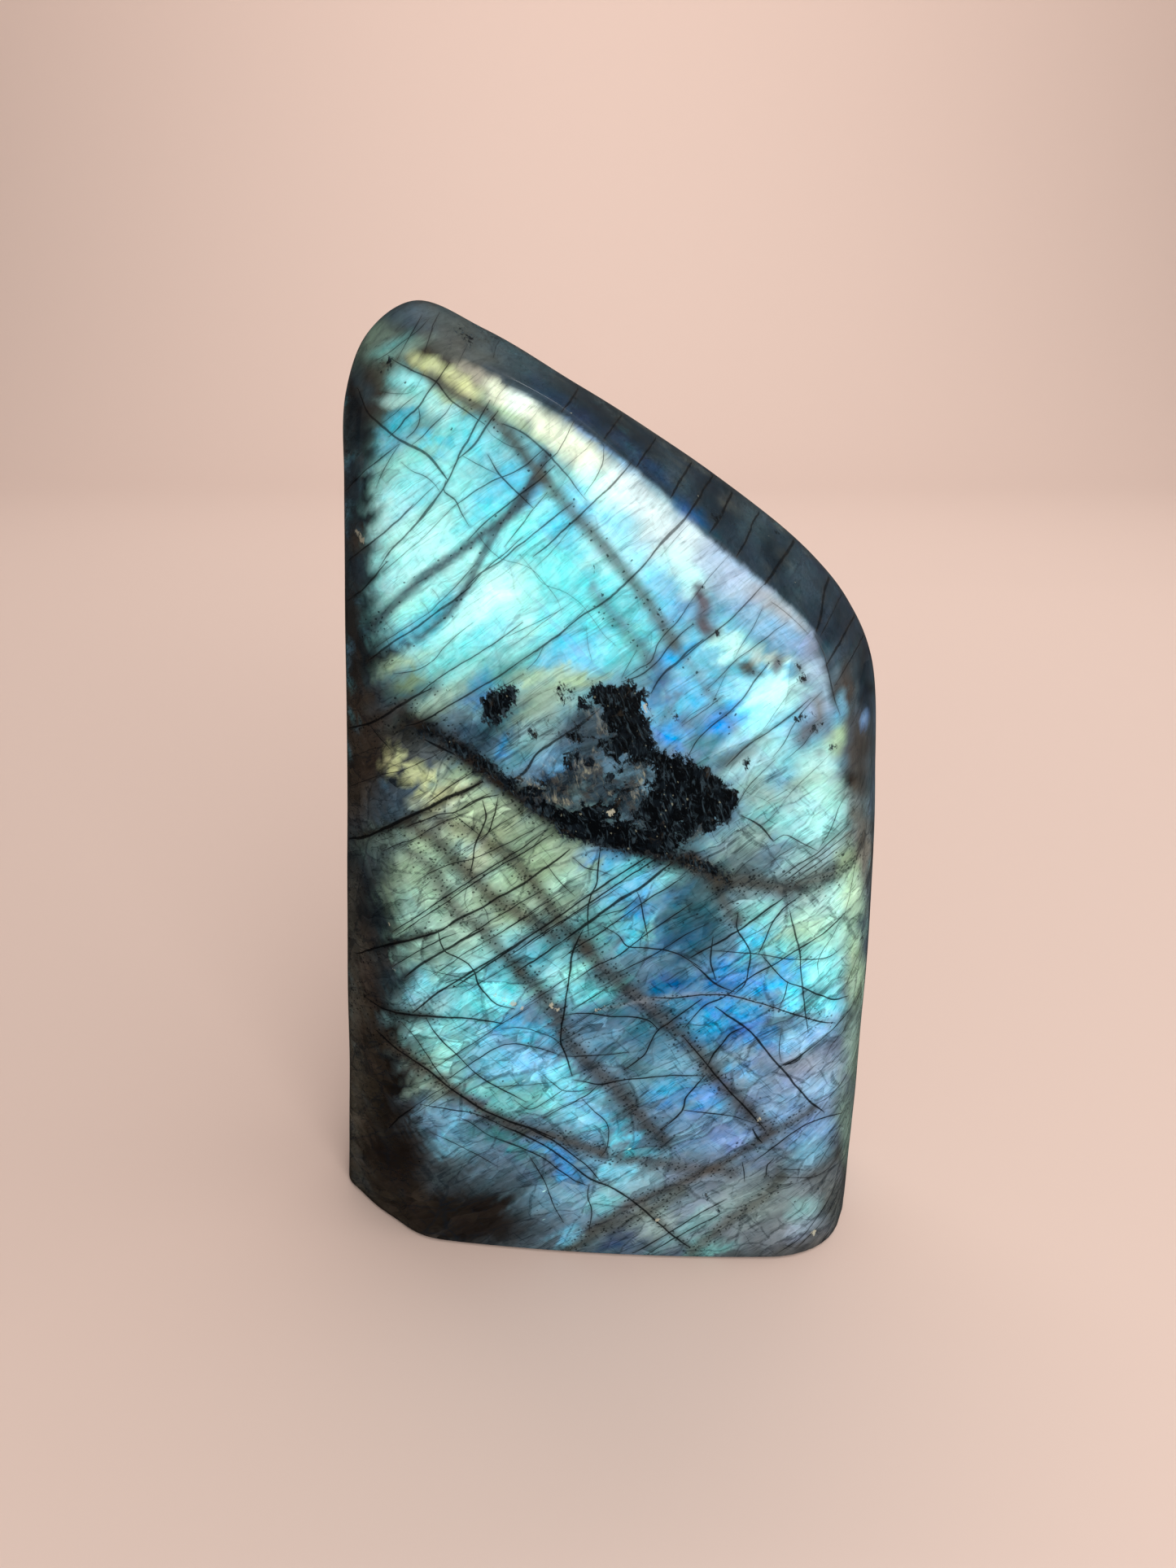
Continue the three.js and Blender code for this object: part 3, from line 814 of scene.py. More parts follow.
# Stone beside the wide face: the ground left side, the top and the right side
sidePatches = [
    ("inkBlue", 424, 620, 38, 190, 0, 1),
    ("inkBlue", 424, 800, 50, 90, 0, 1),
    ("umber", 424, 930, 46, 120, 0, 0.95),
    ("slate", 426, 1110, 52, 110, 0, 0.5),
    ("inkBlue", 426, 1140, 52, 120, 0, 0.8),
    ("darkUmber", 420, 1330, 54, 210, 0, 1),
    ("umber", 424, 1290, 44, 230, 0, 0.8),
    ("stone", 418, 1280, 30, 230, 0, 0.4),
    ("smoke", 428, 1180, 14, 120, 0, 0.4),
    ("umber", 470, 1480, 60, 40, -20, 0.45),
    ("slate", 432, 640, 16, 130, 0, 0.45),
    ("umber", 430, 780, 18, 70, 0, 0.5),
    ("umber", 440, 660, 14, 20, 0, 0.8),
    ("slate", 446, 700, 14, 24, 0, 0.5),
    ("slate", 520, 392, 80, 24, -8, 1),
    ("smoke", 580, 415, 70, 26, -30, 0.8),
    ("sage", 462, 430, 40, 40, 20, 0.6),
    ("seaGreen", 482, 428, 34, 12, 30, 0.6),
    ("sage", 500, 428, 40, 9, 20, 0.6),
    ("smoke", 545, 425, 40, 12, -26, 0.8),
    ("slate", 447, 470, 14, 34, 20, 0.7),
    ("umber", 458, 455, 16, 18, 0, 0.7),
    ("umber", 474, 447, 9, 7, 0, 0.8),
    ("slate", 640, 436, 60, 22, -30, 0.7),
    ("nightBlue", 700, 500, 60, 9, -34, 0.5),
    ("inkBlue", 760, 520, 70, 20, -34, 0.6),
    ("nightBlue", 800, 575, 60, 12, -40, 0.8),
    ("deepBlue", 850, 632, 34, 10, -40, 0.5),
    ("slate", 835, 590, 14, 26, 30, 0.5),
    ("inkBlue", 885, 610, 30, 40, 20, 0.6),
    ("darkTeal", 876, 655, 18, 8, -36, 0.6),
    ("slate", 930, 640, 22, 34, 25, 0.5),
    ("inkBlue", 955, 690, 14, 40, 25, 0.7),
    ("slate", 985, 715, 20, 34, 20, 0.6),
    ("inkBlue", 1035, 755, 12, 60, -24, 0.5),
    ("darkTeal", 1012, 800, 10, 12, -40, 0.6),
    ("umber", 1040, 850, 16, 40, 0, 0.9),
    ("inkBlue", 1062, 850, 12, 70, 0, 0.9),
    ("steel", 1034, 868, 8, 20, 0, 0.7),
    ("umber", 1052, 930, 20, 60, 0, 0.9),
    ("darkUmber", 1048, 962, 22, 14, -30, 1),
    ("periwinkle", 1064, 884, 6, 14, 0, 0.6),
    ("stone", 1058, 1040, 18, 70, 4, 0.9),
    ("leaf", 1044, 1090, 16, 60, 10, 0.8),
    ("leaf", 1050, 1190, 14, 60, 6, 0.7),
    ("slate", 1059, 1136, 6, 14, 0, 0.9),
    ("sage", 1050, 1290, 14, 50, 8, 0.7),
    ("sage", 1044, 1390, 14, 70, 10, 0.6),
    ("smoke", 1026, 1480, 18, 50, 20, 0.7),
]

# Soft peppery bands across the flash: tone, half width, strength, then across and down along the band
softBands = [
    ("slate", 8, 0.95, 672, 560, 638, 622, 600, 652, 560, 682, 520, 710, 490, 737, 460, 766, 432, 792),
    ("slate", 6, 0.9, 655, 590, 625, 632, 598, 672, 580, 708, 560, 742, 530, 772, 500, 792, 465, 812),
    ("smoke", 9, 0.85, 530, 462, 565, 488, 600, 508, 625, 535, 648, 565, 668, 588),
    ("smoke", 10, 0.8, 668, 588, 690, 614, 712, 640, 735, 664, 765, 700, 790, 732, 815, 770, 830, 795),
    ("smoke", 10, 0.55, 735, 735, 760, 765, 785, 795, 800, 815),
    ("smoke", 7, 0.4, 830, 795, 850, 820, 870, 850, 890, 875, 905, 900),
    ("umber", 12, 0.8, 505, 1015, 530, 1030, 560, 1058, 590, 1088, 612, 1108, 650, 1130, 680, 1150),
    ("smoke", 10, 0.75, 505, 1048, 530, 1068, 545, 1095, 560, 1120, 590, 1140, 615, 1170, 640, 1195),
    ("umber", 11, 0.75, 540, 1010, 575, 1018, 600, 1036, 625, 1052, 655, 1085, 690, 1135, 720, 1165),
    ("umber", 13, 0.8, 640, 1195, 680, 1240, 695, 1275, 715, 1300, 740, 1322, 765, 1345, 790, 1378, 815,
     1400),
    ("umber", 14, 0.8, 720, 1165, 745, 1195, 800, 1240, 855, 1290, 880, 1325, 910, 1355, 940, 1385),
    ("umber", 10, 0.85, 430, 1235, 470, 1275, 510, 1305, 550, 1336, 590, 1362, 640, 1388, 690, 1400, 740,
     1418),
    ("umber", 8, 0.6, 740, 1418, 800, 1428, 850, 1436, 900, 1440),
    ("umber", 7, 0.8, 725, 1512, 760, 1490, 790, 1474, 850, 1448, 900, 1422, 950, 1392, 1000, 1362),
    ("umber", 5, 0.5, 790, 1480, 820, 1510, 850, 1535),
    ("smoke", 8, 0.8, 700, 1535, 740, 1512, 790, 1490, 840, 1462),
    ("smoke", 8, 0.8, 850, 1540, 890, 1505, 940, 1470, 960, 1445),
    ("darkUmber", 17, 1, 500, 884, 545, 906, 590, 944, 640, 980, 700, 1016, 780, 1042, 850, 1060),
    ("umber", 13, 0.85, 850, 1058, 890, 1082, 930, 1085, 970, 1092, 1005, 1080, 1030, 1068, 1045, 1055),
    ("umber", 10, 0.7, 880, 1085, 890, 1110, 905, 1130),
    ("lilacGrey", 2.5, 0.3, 740, 1240, 800, 1228, 860, 1222, 900, 1224, 960, 1242, 1020, 1257),
    ("darkUmber", 5, 0.8, 425, 1030, 470, 1020, 510, 1002, 550, 982, 590, 962),
    ("darkUmber", 7, 0.9, 425, 1175, 455, 1168, 490, 1157, 530, 1147),
    ("darkUmber", 7, 0.8, 428, 1205, 455, 1228, 490, 1245, 530, 1250),
    ("umber", 6, 0.6, 425, 895, 460, 885, 500, 862, 540, 842),
    ("darkUmber", 6, 0.8, 428, 815, 455, 812, 480, 800),
]

# The black mineral, as outlines, and its small spots as across, down and radius
blackShapes = [
    (726, 835, 745, 838, 768, 840, 788, 832, 796, 850, 804, 891, 808, 920, 840, 930, 858, 941, 876, 957,
     904, 973,
     906, 991, 894, 1011, 858, 1018, 835, 1027, 795, 1023, 776, 1005, 795, 982, 808, 959, 801, 941, 785, 932,
     767, 923, 749, 914, 740, 891, 735, 868, 726, 850),
    (586, 858, 600, 848, 616, 842, 634, 834, 638, 848, 634, 866, 624, 884, 610, 894, 596, 888, 588, 872),
    (735, 950, 750, 942, 756, 954, 748, 966, 736, 962),
]
mixedShape = (
    700, 902, 710, 872, 728, 848, 765, 850, 790, 925, 830, 930, 870, 945, 905, 960, 900, 1010, 850, 1040,
    800, 1048, 740, 1036, 690, 1012, 645, 982, 630, 958, 665, 940, 690, 918,
)

# Where the black is broken into specks: half width, then across and down along it
blackVeins = [
    (9, 598, 868, 612, 862, 626, 852),
    (7, 520, 900, 545, 908, 575, 926, 612, 952, 640, 975, 680, 1000, 720, 1020, 770, 1038, 820, 1050, 870,
     1066, 892, 1082),
    (16, 700, 1012, 740, 1020, 780, 1030, 820, 1036),
    (-2, 880, 1000, 900, 1020, 925, 1030),
    (-6, 640, 886, 660, 896, 690, 894, 712, 880, 728, 868),
    (-5, 700, 930, 730, 945, 760, 965, 790, 960),
    (-4, 716, 872, 728, 896, 742, 918, 762, 940),
]
blackSpots = [
    (686, 846, 6), (690, 857, 7), (701, 851, 4), (714, 861, 7), (726, 855, 4), (674, 886, 4), (638, 900, 4),
    (650, 898, 4), (660, 904, 5), (634, 890, 5), (626, 902, 4), (644, 910, 4), (671, 897, 4),
    (686, 903, 5), (641, 836, 4), (700, 902, 4), (918, 940, 6), (880, 1075, 6),
    (925, 826, 5), (956, 817, 4), (980, 819, 4), (987, 834, 5), (981, 884, 5), (1007, 890, 4), (997, 898, 4),
    (985, 908, 4), (1026, 842, 5), (1032, 856, 5), (1026, 917, 5), (810, 756, 3), (730, 700, 3),
    (827, 878, 5),
    (863, 722, 4), (867, 750, 3), (878, 778, 3), (924, 826, 5), (1003, 880, 3), (477, 446, 6),
    (577, 416, 8), (565, 402, 5), (880, 634, 6), (906, 645, 4), (955, 655, 5), (932, 1400, 4),
    (870, 1474, 4), (884, 1490, 4), (1010, 1462, 5), (865, 1310, 4),
]

# Pale strands in the dull stone beside the black: across, down, half length, half width, turn
strands = [
    (735, 884, 17, 5, 100), (724, 878, 9, 4, 110), (744, 896, 12, 4, 95), (722, 948, 15, 6, 22),
    (736, 940, 12, 5, 40),
    (712, 938, 10, 4, 10), (788, 958, 18, 5, 98), (781, 974, 12, 4, 92), (767, 926, 9, 4, 60),
    (791, 870, 9, 4, 125),
    (784, 848, 8, 4, 60), (700, 870, 10, 4, 30), (676, 935, 12, 5, 30), (650, 962, 18, 5, -20),
    (690, 985, 20, 5, -14),
    (668, 908, 9, 4, 40), (750, 972, 7, 4, 60), (640, 958, 14, 4, -30), (830, 968, 9, 3, 70),
    (862, 958, 10, 3, 20),
    (884, 985, 8, 3, 60), (836, 1010, 12, 3, 30),
]

# Crumbs of pale feldspar along two of the cracks, and the chip in the black
crumbs = [
    (608, 1223, 3), (618, 1230, 4), (630, 1234, 4), (641, 1238, 3), (678, 1236, 4), (685, 1241, 3),
    (735, 1240, 3),
    (746, 1237, 2), (822, 1232, 3), (964, 1240, 3), (933, 1376, 3), (808, 1500, 3), (905, 1473, 3),
    (750, 998, 5),
    (479, 1139, 3), (483, 1192, 3), (792, 868, 4), (797, 874, 3), (440, 655, 5), (446, 662, 5),
    (1000, 1514, 4),
    (977, 714, 3), (857, 607, 2), (735, 478, 2), (700, 508, 2), (945, 655, 2), (1000, 735, 2),
]

# Where short pale flecks lie along the layers: middle across and down, radius
fleckAreas = [(690, 1450, 80), (610, 1400, 50), (765, 1395, 45), (730, 1490, 40), (640, 1350, 40)]

# Where the polish is worn: middle across and down, radius
wornAreas = [(490, 390, 70), (540, 400, 60), (590, 430, 46), (620, 448, 36)]

# Cracks in the photograph: width, darkness, then across and down along the crack
cracks = [
    (2.2, 0.95, 440, 478, 452, 508, 468, 522, 480, 533, 500, 546, 520, 555, 535, 570, 550, 590),
    (1.3, 0.8, 424, 604, 450, 577, 470, 562, 490, 546),
    (1.1, 0.7, 462, 600, 470, 580, 480, 562, 491, 546),
    (1.5, 0.9, 552, 446, 537, 468, 522, 488, 512, 502, 500, 512, 490, 525, 478, 537),
    (1.4, 0.8, 514, 500, 516, 515, 511, 527, 500, 538),
    (1.1, 0.7, 556, 495, 546, 510, 530, 525, 515, 540, 503, 549),
    (1.6, 0.9, 602, 492, 586, 520, 576, 540, 565, 558, 555, 580, 545, 600, 530, 620, 505, 652),
    (1.8, 0.9, 612, 505, 597, 525, 582, 547, 564, 563),
    (1.7, 0.7, 484, 443, 505, 455, 535, 468, 553, 491, 575, 507, 595, 521),
    (1.1, 0.45, 465, 480, 485, 484, 505, 482, 515, 470, 522, 456),
    (1.0, 0.45, 515, 440, 523, 428, 528, 412, 536, 396),
    (1.0, 0.5, 475, 425, 487, 415, 500, 405),
    (1.1, 0.5, 595, 521, 605, 535, 622, 546, 642, 552),
    (1.0, 0.6, 468, 521, 485, 508, 503, 492, 520, 480),
    (1.4, 0.8, 548, 590, 545, 603, 560, 615, 567, 630, 576, 646),
    (1.0, 0.6, 490, 640, 515, 615, 540, 592),
    (1.5, 0.75, 543, 604, 520, 635, 500, 656, 480, 676, 466, 698),
    (1.0, 0.5, 560, 620, 540, 640, 515, 665, 495, 682, 470, 703),
    (1.5, 0.85, 600, 560, 615, 585, 640, 610, 655, 624),
    (1.2, 0.75, 556, 624, 585, 603, 612, 588, 640, 576, 668, 552),
    (0.9, 0.7, 494, 569, 506, 579, 523, 586, 535, 596, 541, 606),
    (1.1, 0.6, 568, 560, 590, 572, 612, 583),
    (1.2, 0.6, 705, 518, 694, 540, 684, 556, 670, 570, 655, 588),
    (1.3, 0.6, 742, 548, 740, 570, 730, 590, 718, 608),
    (1.0, 0.5, 730, 540, 716, 556, 702, 568, 688, 580),
    (0.9, 0.45, 664, 500, 652, 516, 638, 530),
    (1.6, 0.85, 778, 566, 756, 592, 735, 612, 712, 634, 690, 654, 668, 674, 655, 684),
    (1.0, 0.5, 703, 646, 690, 664, 676, 680, 658, 697),
    (2.0, 0.6, 618, 521, 640, 530, 656, 543, 672, 557, 686, 572, 698, 586, 709, 601, 718, 612),
    (1.4, 0.8, 682, 572, 662, 590, 640, 607, 618, 625, 596, 642, 575, 664),
    (1.3, 0.8, 704, 618, 680, 636, 656, 656, 640, 668, 615, 690, 590, 705, 574, 720),
    (1.1, 0.7, 672, 606, 655, 626, 640, 646, 620, 672),
    (2.4, 0.95, 802, 680, 820, 660, 840, 640, 858, 613, 868, 596, 877, 584),
    (0.9, 0.5, 815, 680, 835, 656, 850, 641),
    (2.2, 0.9, 824, 612, 840, 584, 850, 568),
    (1.8, 0.9, 690, 506, 704, 488, 716, 466, 722, 455),
    (1.6, 0.8, 742, 540, 756, 520, 768, 504, 776, 490),
    (1.8, 0.9, 782, 574, 794, 556, 806, 538, 812, 520),
    (2.4, 0.95, 872, 655, 886, 634, 896, 612, 906, 592),
    (1.8, 0.9, 905, 684, 918, 662, 926, 640, 938, 622),
    (1.0, 0.5, 896, 682, 880, 700, 866, 716, 855, 731, 838, 755),
    (1.4, 0.8, 940, 717, 920, 738, 900, 760, 880, 776, 860, 792, 840, 808, 820, 822, 802, 846),
    (3.0, 0.95, 979, 660, 966, 680, 955, 696, 940, 718),
    (3.0, 0.95, 1020, 705, 1012, 730, 1009, 755, 1003, 776),
    (1.2, 0.7, 1036, 726, 1022, 755, 1008, 782),
    (2.2, 0.9, 1052, 752, 1040, 775, 1026, 800, 1015, 818),
    (1.2, 0.7, 1064, 775, 1050, 802, 1036, 826, 1026, 842),
    (0.9, 0.6, 938, 745, 926, 770, 915, 786, 903, 808),
    (1.1, 0.65, 968, 764, 946, 780, 925, 796, 905, 811, 885, 832, 868, 848),
    (1.2, 0.5, 948, 740, 965, 752, 978, 764, 992, 778),
    (1.4, 0.6, 1000, 778, 1013, 806, 1020, 835, 1026, 860, 1032, 878),
    (1.8, 0.95, 577, 722, 558, 737, 540, 750, 520, 765, 500, 779, 480, 791, 452, 812),
    (1.2, 0.75, 642, 660, 620, 680, 600, 696, 576, 722),
    (1.0, 0.6, 585, 692, 568, 712, 545, 735, 528, 752, 505, 767, 485, 780, 460, 797),
    (0.8, 0.6, 531, 724, 537, 731, 540, 739),
    (0.8, 0.6, 518, 740, 524, 747, 528, 757),
    (0.8, 0.7, 474, 765, 482, 775),
    (1.0, 0.7, 474, 784, 478, 792, 479, 799),
    (1.1, 0.65, 484, 828, 510, 824, 530, 813, 545, 797, 562, 780, 580, 766),
    (1.4, 0.8, 642, 765, 620, 781, 598, 797, 575, 811, 552, 825, 530, 840, 515, 852, 495, 867),
    (1.6, 0.9, 640, 812, 612, 832, 590, 845, 570, 857, 545, 871, 520, 886, 495, 893),
    (1.0, 0.6, 642, 829, 620, 842, 600, 852),
    (2.2, 0.9, 424, 896, 450, 890, 472, 880, 490, 868, 508, 857, 530, 846),
    (2.0, 0.8, 474, 692, 462, 706, 448, 722, 428, 738),
    (1.6, 0.85, 427, 690, 448, 673, 470, 656, 490, 638, 508, 620),
    (1.1, 0.45, 583, 650, 598, 672, 615, 686, 638, 693, 653, 699, 668, 716, 684, 735, 690, 752),
    (1.0, 0.6, 692, 748, 665, 762, 645, 772, 622, 783),
    (1.9, 0.95, 806, 676, 790, 696, 770, 715, 750, 734, 735, 745, 715, 756, 700, 768, 680, 785, 662, 798,
     640, 812),
    (1.0, 0.7, 722, 745, 710, 758, 694, 770),
    (1.2, 0.7, 667, 796, 660, 810, 648, 822),
    (1.0, 0.5, 702, 740, 680, 756, 660, 771, 640, 786, 622, 797),
    (1.0, 0.45, 640, 683, 655, 702, 668, 718, 690, 726, 712, 740, 728, 760, 740, 778, 755, 792),
    (1.2, 0.75, 846, 744, 832, 764, 818, 779, 808, 792, 800, 812, 785, 822, 770, 832),
    (1.4, 0.8, 850, 768, 835, 781, 820, 796, 806, 815, 786, 830, 764, 838),
    (1.8, 0.9, 864, 786, 845, 801, 830, 816, 812, 832, 800, 852),
    (0.9, 0.5, 720, 770, 722, 790, 727, 812),
    (1.0, 0.7, 782, 800, 770, 820, 764, 834),
    (1.0, 0.6, 870, 866, 850, 878, 838, 888),
    (2.6, 0.85, 736, 872, 715, 889, 695, 902, 676, 914, 660, 926, 648, 944, 638, 954, 622, 961),
    (1.0, 0.4, 692, 840, 662, 854, 636, 870),
    (1.0, 0.4, 702, 868, 672, 880, 648, 893),
    (1.4, 0.8, 996, 858, 980, 872, 962, 886, 944, 900, 925, 912, 908, 926, 892, 942),
    (1.4, 0.8, 944, 816, 928, 836, 915, 855, 895, 876, 872, 894, 856, 911, 845, 930),
    (0.9, 0.5, 976, 843, 960, 865, 946, 885, 934, 902),
    (1.1, 0.7, 1010, 850, 988, 872, 972, 896, 962, 915, 950, 930),
    (1.0, 0.6, 888, 855, 870, 870, 850, 883, 838, 892),
    (1.0, 0.5, 892, 828, 882, 850, 874, 868),
    (1.0, 0.6, 1000, 898, 982, 920, 962, 936),
    (1.1, 0.6, 952, 934, 935, 950, 920, 966, 908, 985, 898, 1002),
    (0.9, 0.5, 1024, 922, 1002, 945, 985, 960, 970, 976, 958, 992),
    (1.1, 0.7, 1042, 974, 1032, 990, 1026, 1006, 1018, 1024, 1006, 1044),
    (2.0, 0.8, 912, 1003, 926, 1010, 938, 1019, 950, 1034),
    (1.5, 0.6, 950, 1034, 965, 1026, 985, 1036, 1005, 1046),
    (1.0, 0.5, 965, 985, 948, 1004, 932, 1020),
    (1.0, 0.5, 938, 1045, 915, 1062, 900, 1078),
    (3.0, 0.95, 426, 1031, 450, 1028, 470, 1019, 490, 1010, 510, 1000, 530, 991, 550, 980, 570, 972, 592,
     961),
    (1.3, 0.8, 500, 1016, 520, 1008, 540, 1001, 560, 998, 580, 985, 602, 975),
    (1.8, 0.8, 556, 1000, 575, 990, 592, 981, 612, 977),
    (1.0, 0.7, 470, 1046, 490, 1037, 510, 1030, 530, 1018, 550, 1008, 575, 998),
    (1.0, 0.6, 425, 968, 450, 959, 470, 952, 490, 948, 510, 940, 530, 931, 552, 918),
    (1.0, 0.5, 428, 932, 450, 923, 478, 916),
    (1.2, 0.8, 518, 992, 540, 976, 556, 964, 582, 948),
    (0.9, 0.5, 498, 978, 514, 966, 532, 954),
    (0.9, 0.45, 486, 942, 500, 934, 512, 928),
    (1.5, 0.7, 455, 892, 466, 906, 480, 921),
    (3.2, 0.95, 522, 909, 534, 915, 546, 921, 558, 927),
    (1.4, 0.8, 612, 980, 607, 1003, 600, 1024, 590, 1033),
    (1.6, 0.85, 593, 984, 597, 1004, 591, 1022, 583, 1040, 581, 1058, 577, 1076),
    (1.3, 0.7, 558, 1001, 574, 1014, 590, 1027),
    (1.0, 0.6, 642, 997, 620, 1010, 600, 1023, 585, 1034, 570, 1046),
    (1.0, 0.7, 510, 1084, 532, 1071, 556, 1061, 580, 1056, 605, 1045, 640, 1028, 668, 1012),
    (1.2, 0.85, 482, 1145, 520, 1121, 560, 1094, 600, 1068, 640, 1043, 672, 1020),
    (1.2, 0.85, 486, 1150, 524, 1125, 564, 1098, 604, 1071, 644, 1047, 680, 1024),
    (2.2, 0.95, 438, 1172, 470, 1163, 500, 1156, 525, 1149, 545, 1142, 560, 1131, 590, 1117, 612, 1103,
     640, 1088,
     660, 1073, 680, 1060, 700, 1044),
    (1.2, 0.75, 556, 1162, 590, 1140, 620, 1121, 645, 1106, 668, 1093),
    (1.0, 0.7, 601, 1135, 597, 1120, 591, 1110),
    (1.3, 0.8, 600, 1155, 622, 1142, 645, 1128, 662, 1117),
    (0.9, 0.5, 577, 1122, 571, 1108, 574, 1090, 580, 1078),
    (1.3, 0.8, 482, 1188, 500, 1177, 520, 1166, 540, 1155, 560, 1147),
    (2.4, 0.95, 498, 1200, 524, 1181, 550, 1166, 574, 1152, 594, 1142),
    (1.0, 0.7, 528, 1199, 548, 1188, 572, 1171, 602, 1154),
    (2.0, 0.9, 508, 1244, 530, 1226, 550, 1212, 580, 1194, 610, 1176, 640, 1157, 680, 1132),
    (1.0, 0.6, 566, 1222, 590, 1208, 620, 1190, 642, 1178),
    (1.8, 0.9, 538, 1143, 542, 1160, 548, 1170, 565, 1178, 575, 1185, 583, 1195, 588, 1210, 597, 1221, 610,
     1234,
     632, 1240),
    (1.0, 0.6, 518, 1190, 540, 1196, 562, 1200, 588, 1204),
    (1.6, 0.7, 548, 1208, 562, 1204, 580, 1210),
    (2.0, 0.95, 450, 1226, 470, 1239, 490, 1245, 515, 1248, 540, 1250, 570, 1251, 600, 1255, 618, 1258),
    (1.6, 0.85, 524, 1252, 535, 1270, 550, 1286, 565, 1300, 580, 1315, 600, 1330, 625, 1343, 646, 1354),
    (1.3, 0.75, 494, 1257, 510, 1275, 522, 1292, 532, 1308, 544, 1324, 552, 1333),
    (2.4, 0.9, 462, 1266, 490, 1291, 510, 1304, 530, 1318, 550, 1335, 570, 1349, 590, 1362, 620, 1376, 650,
     1386,
     680, 1398),
    (1.2, 0.8, 548, 1328, 580, 1306, 608, 1289, 625, 1283, 648, 1285, 668, 1290, 692, 1298),
    (1.1, 0.7, 534, 1312, 560, 1296, 590, 1276, 622, 1255, 650, 1238),
    (1.0, 0.7, 504, 1362, 530, 1346, 552, 1332),
    (1.0, 0.6, 508, 1370, 530, 1356, 560, 1336, 585, 1318),
    (1.4, 0.85, 516, 1357, 550, 1363, 580, 1368, 602, 1376, 622, 1386),
    (2.0, 0.8, 510, 1360, 492, 1372, 478, 1386),
    (1.2, 0.7, 560, 1371, 580, 1381, 600, 1395, 622, 1404, 645, 1412),
    (1.2, 0.7, 528, 1391, 560, 1406, 590, 1421, 612, 1434),
    (1.0, 0.6, 598, 1337, 620, 1335, 650, 1333, 682, 1330),
    (1.9, 0.9, 716, 1143, 708, 1160, 702, 1177, 700, 1197, 697, 1216, 694, 1240, 690, 1262, 689, 1280, 696,
     1300,
     703, 1322),
    (1.5, 0.9, 690, 1248, 720, 1245, 750, 1249, 780, 1250, 798, 1255, 810, 1266),
    (1.8, 0.85, 862, 1228, 838, 1245, 820, 1258, 808, 1267, 800, 1281, 792, 1296, 780, 1306, 768, 1314),
    (1.3, 0.8, 694, 1298, 720, 1298, 750, 1296, 772, 1293),
    (1.1, 0.7, 616, 1264, 640, 1263, 660, 1268, 680, 1276, 692, 1288),
    (1.5, 0.85, 704, 1327, 722, 1330, 738, 1333, 760, 1328, 790, 1325, 820, 1322, 862, 1322),
    (1.3, 0.75, 736, 1333, 722, 1345, 704, 1355, 682, 1366, 668, 1374),
    (1.2, 0.7, 668, 1322, 680, 1332, 692, 1340, 712, 1341, 728, 1337),
    (1.1, 0.7, 698, 1335, 676, 1350, 650, 1363, 632, 1352),
    (1.3, 0.75, 714, 1349, 730, 1366, 745, 1379, 748, 1396, 745, 1412, 738, 1422),
    (1.8, 0.9, 866, 1322, 850, 1340, 842, 1350, 840, 1362, 828, 1376, 812, 1388),
    (1.1, 0.7, 788, 1355, 775, 1362, 765, 1368),
    (1.8, 0.9, 560, 1212, 620, 1172, 650, 1151, 680, 1131, 710, 1110, 740, 1089, 768, 1070, 796, 1053),
    (1.4, 0.85, 624, 1176, 660, 1151, 690, 1132, 720, 1113, 750, 1092, 780, 1072, 812, 1052),
    (1.0, 0.7, 640, 1168, 672, 1146, 700, 1128, 730, 1110, 764, 1088),
    (3.0, 0.95, 692, 1156, 712, 1142, 735, 1125, 760, 1107, 788, 1090, 808, 1074, 826, 1060),
    (1.6, 0.8, 632, 1196, 660, 1178, 680, 1164, 694, 1155),
    (1.3, 0.8, 690, 1178, 715, 1160, 740, 1145, 770, 1123, 800, 1103, 825, 1088, 842, 1076),
    (1.3, 0.8, 704, 1206, 730, 1188, 760, 1174, 785, 1155, 815, 1134, 850, 1110),
    (1.2, 0.8, 704, 1241, 725, 1227, 748, 1213),
    (1.0, 0.7, 645, 1236, 670, 1220, 692, 1205, 712, 1194),
    (1.0, 0.6, 700, 1262, 730, 1244, 760, 1228),
    (1.0, 0.6, 620, 1142, 645, 1126, 668, 1111, 700, 1092),
    (1.2, 0.7, 758, 1196, 790, 1180, 812, 1168, 840, 1150, 870, 1135),
    (1.4, 0.85, 738, 1040, 735, 1062, 733, 1085, 726, 1101, 722, 1122, 723, 1148),
    (1.1, 0.7, 704, 1054, 720, 1067, 735, 1070, 752, 1076),
    (1.2, 0.6, 668, 1057, 680, 1074, 690, 1086, 706, 1101),
    (1.4, 0.8, 782, 1094, 788, 1110, 790, 1126, 796, 1151),
    (1.0, 0.7, 786, 1100, 776, 1110, 765, 1118, 750, 1122, 732, 1128),
    (1.4, 0.85, 744, 1140, 760, 1150, 771, 1163, 790, 1165, 816, 1167, 840, 1176, 862, 1190),
    (1.0, 0.7, 786, 1165, 788, 1151, 796, 1140),
    (1.1, 0.8, 958, 1079, 980, 1063, 1002, 1050, 1022, 1033, 1044, 1012),
    (1.1, 0.8, 966, 1082, 988, 1065, 1010, 1050, 1030, 1034, 1048, 1020),
    (1.1, 0.8, 970, 1086, 994, 1068, 1016, 1053, 1040, 1034),
    (0.9, 0.6, 978, 1086, 1002, 1070, 1026, 1054, 1046, 1038),
    (0.9, 0.6, 940, 1065, 960, 1050, 985, 1036),
    (2.0, 0.85, 846, 1178, 868, 1166, 885, 1157, 905, 1145, 925, 1131, 945, 1116, 962, 1104),
    (1.0, 0.6, 882, 1178, 915, 1154, 945, 1136, 975, 1108),
    (1.6, 0.8, 842, 1262, 866, 1236, 890, 1225, 910, 1210, 930, 1196, 950, 1186, 975, 1170, 1000, 1155,
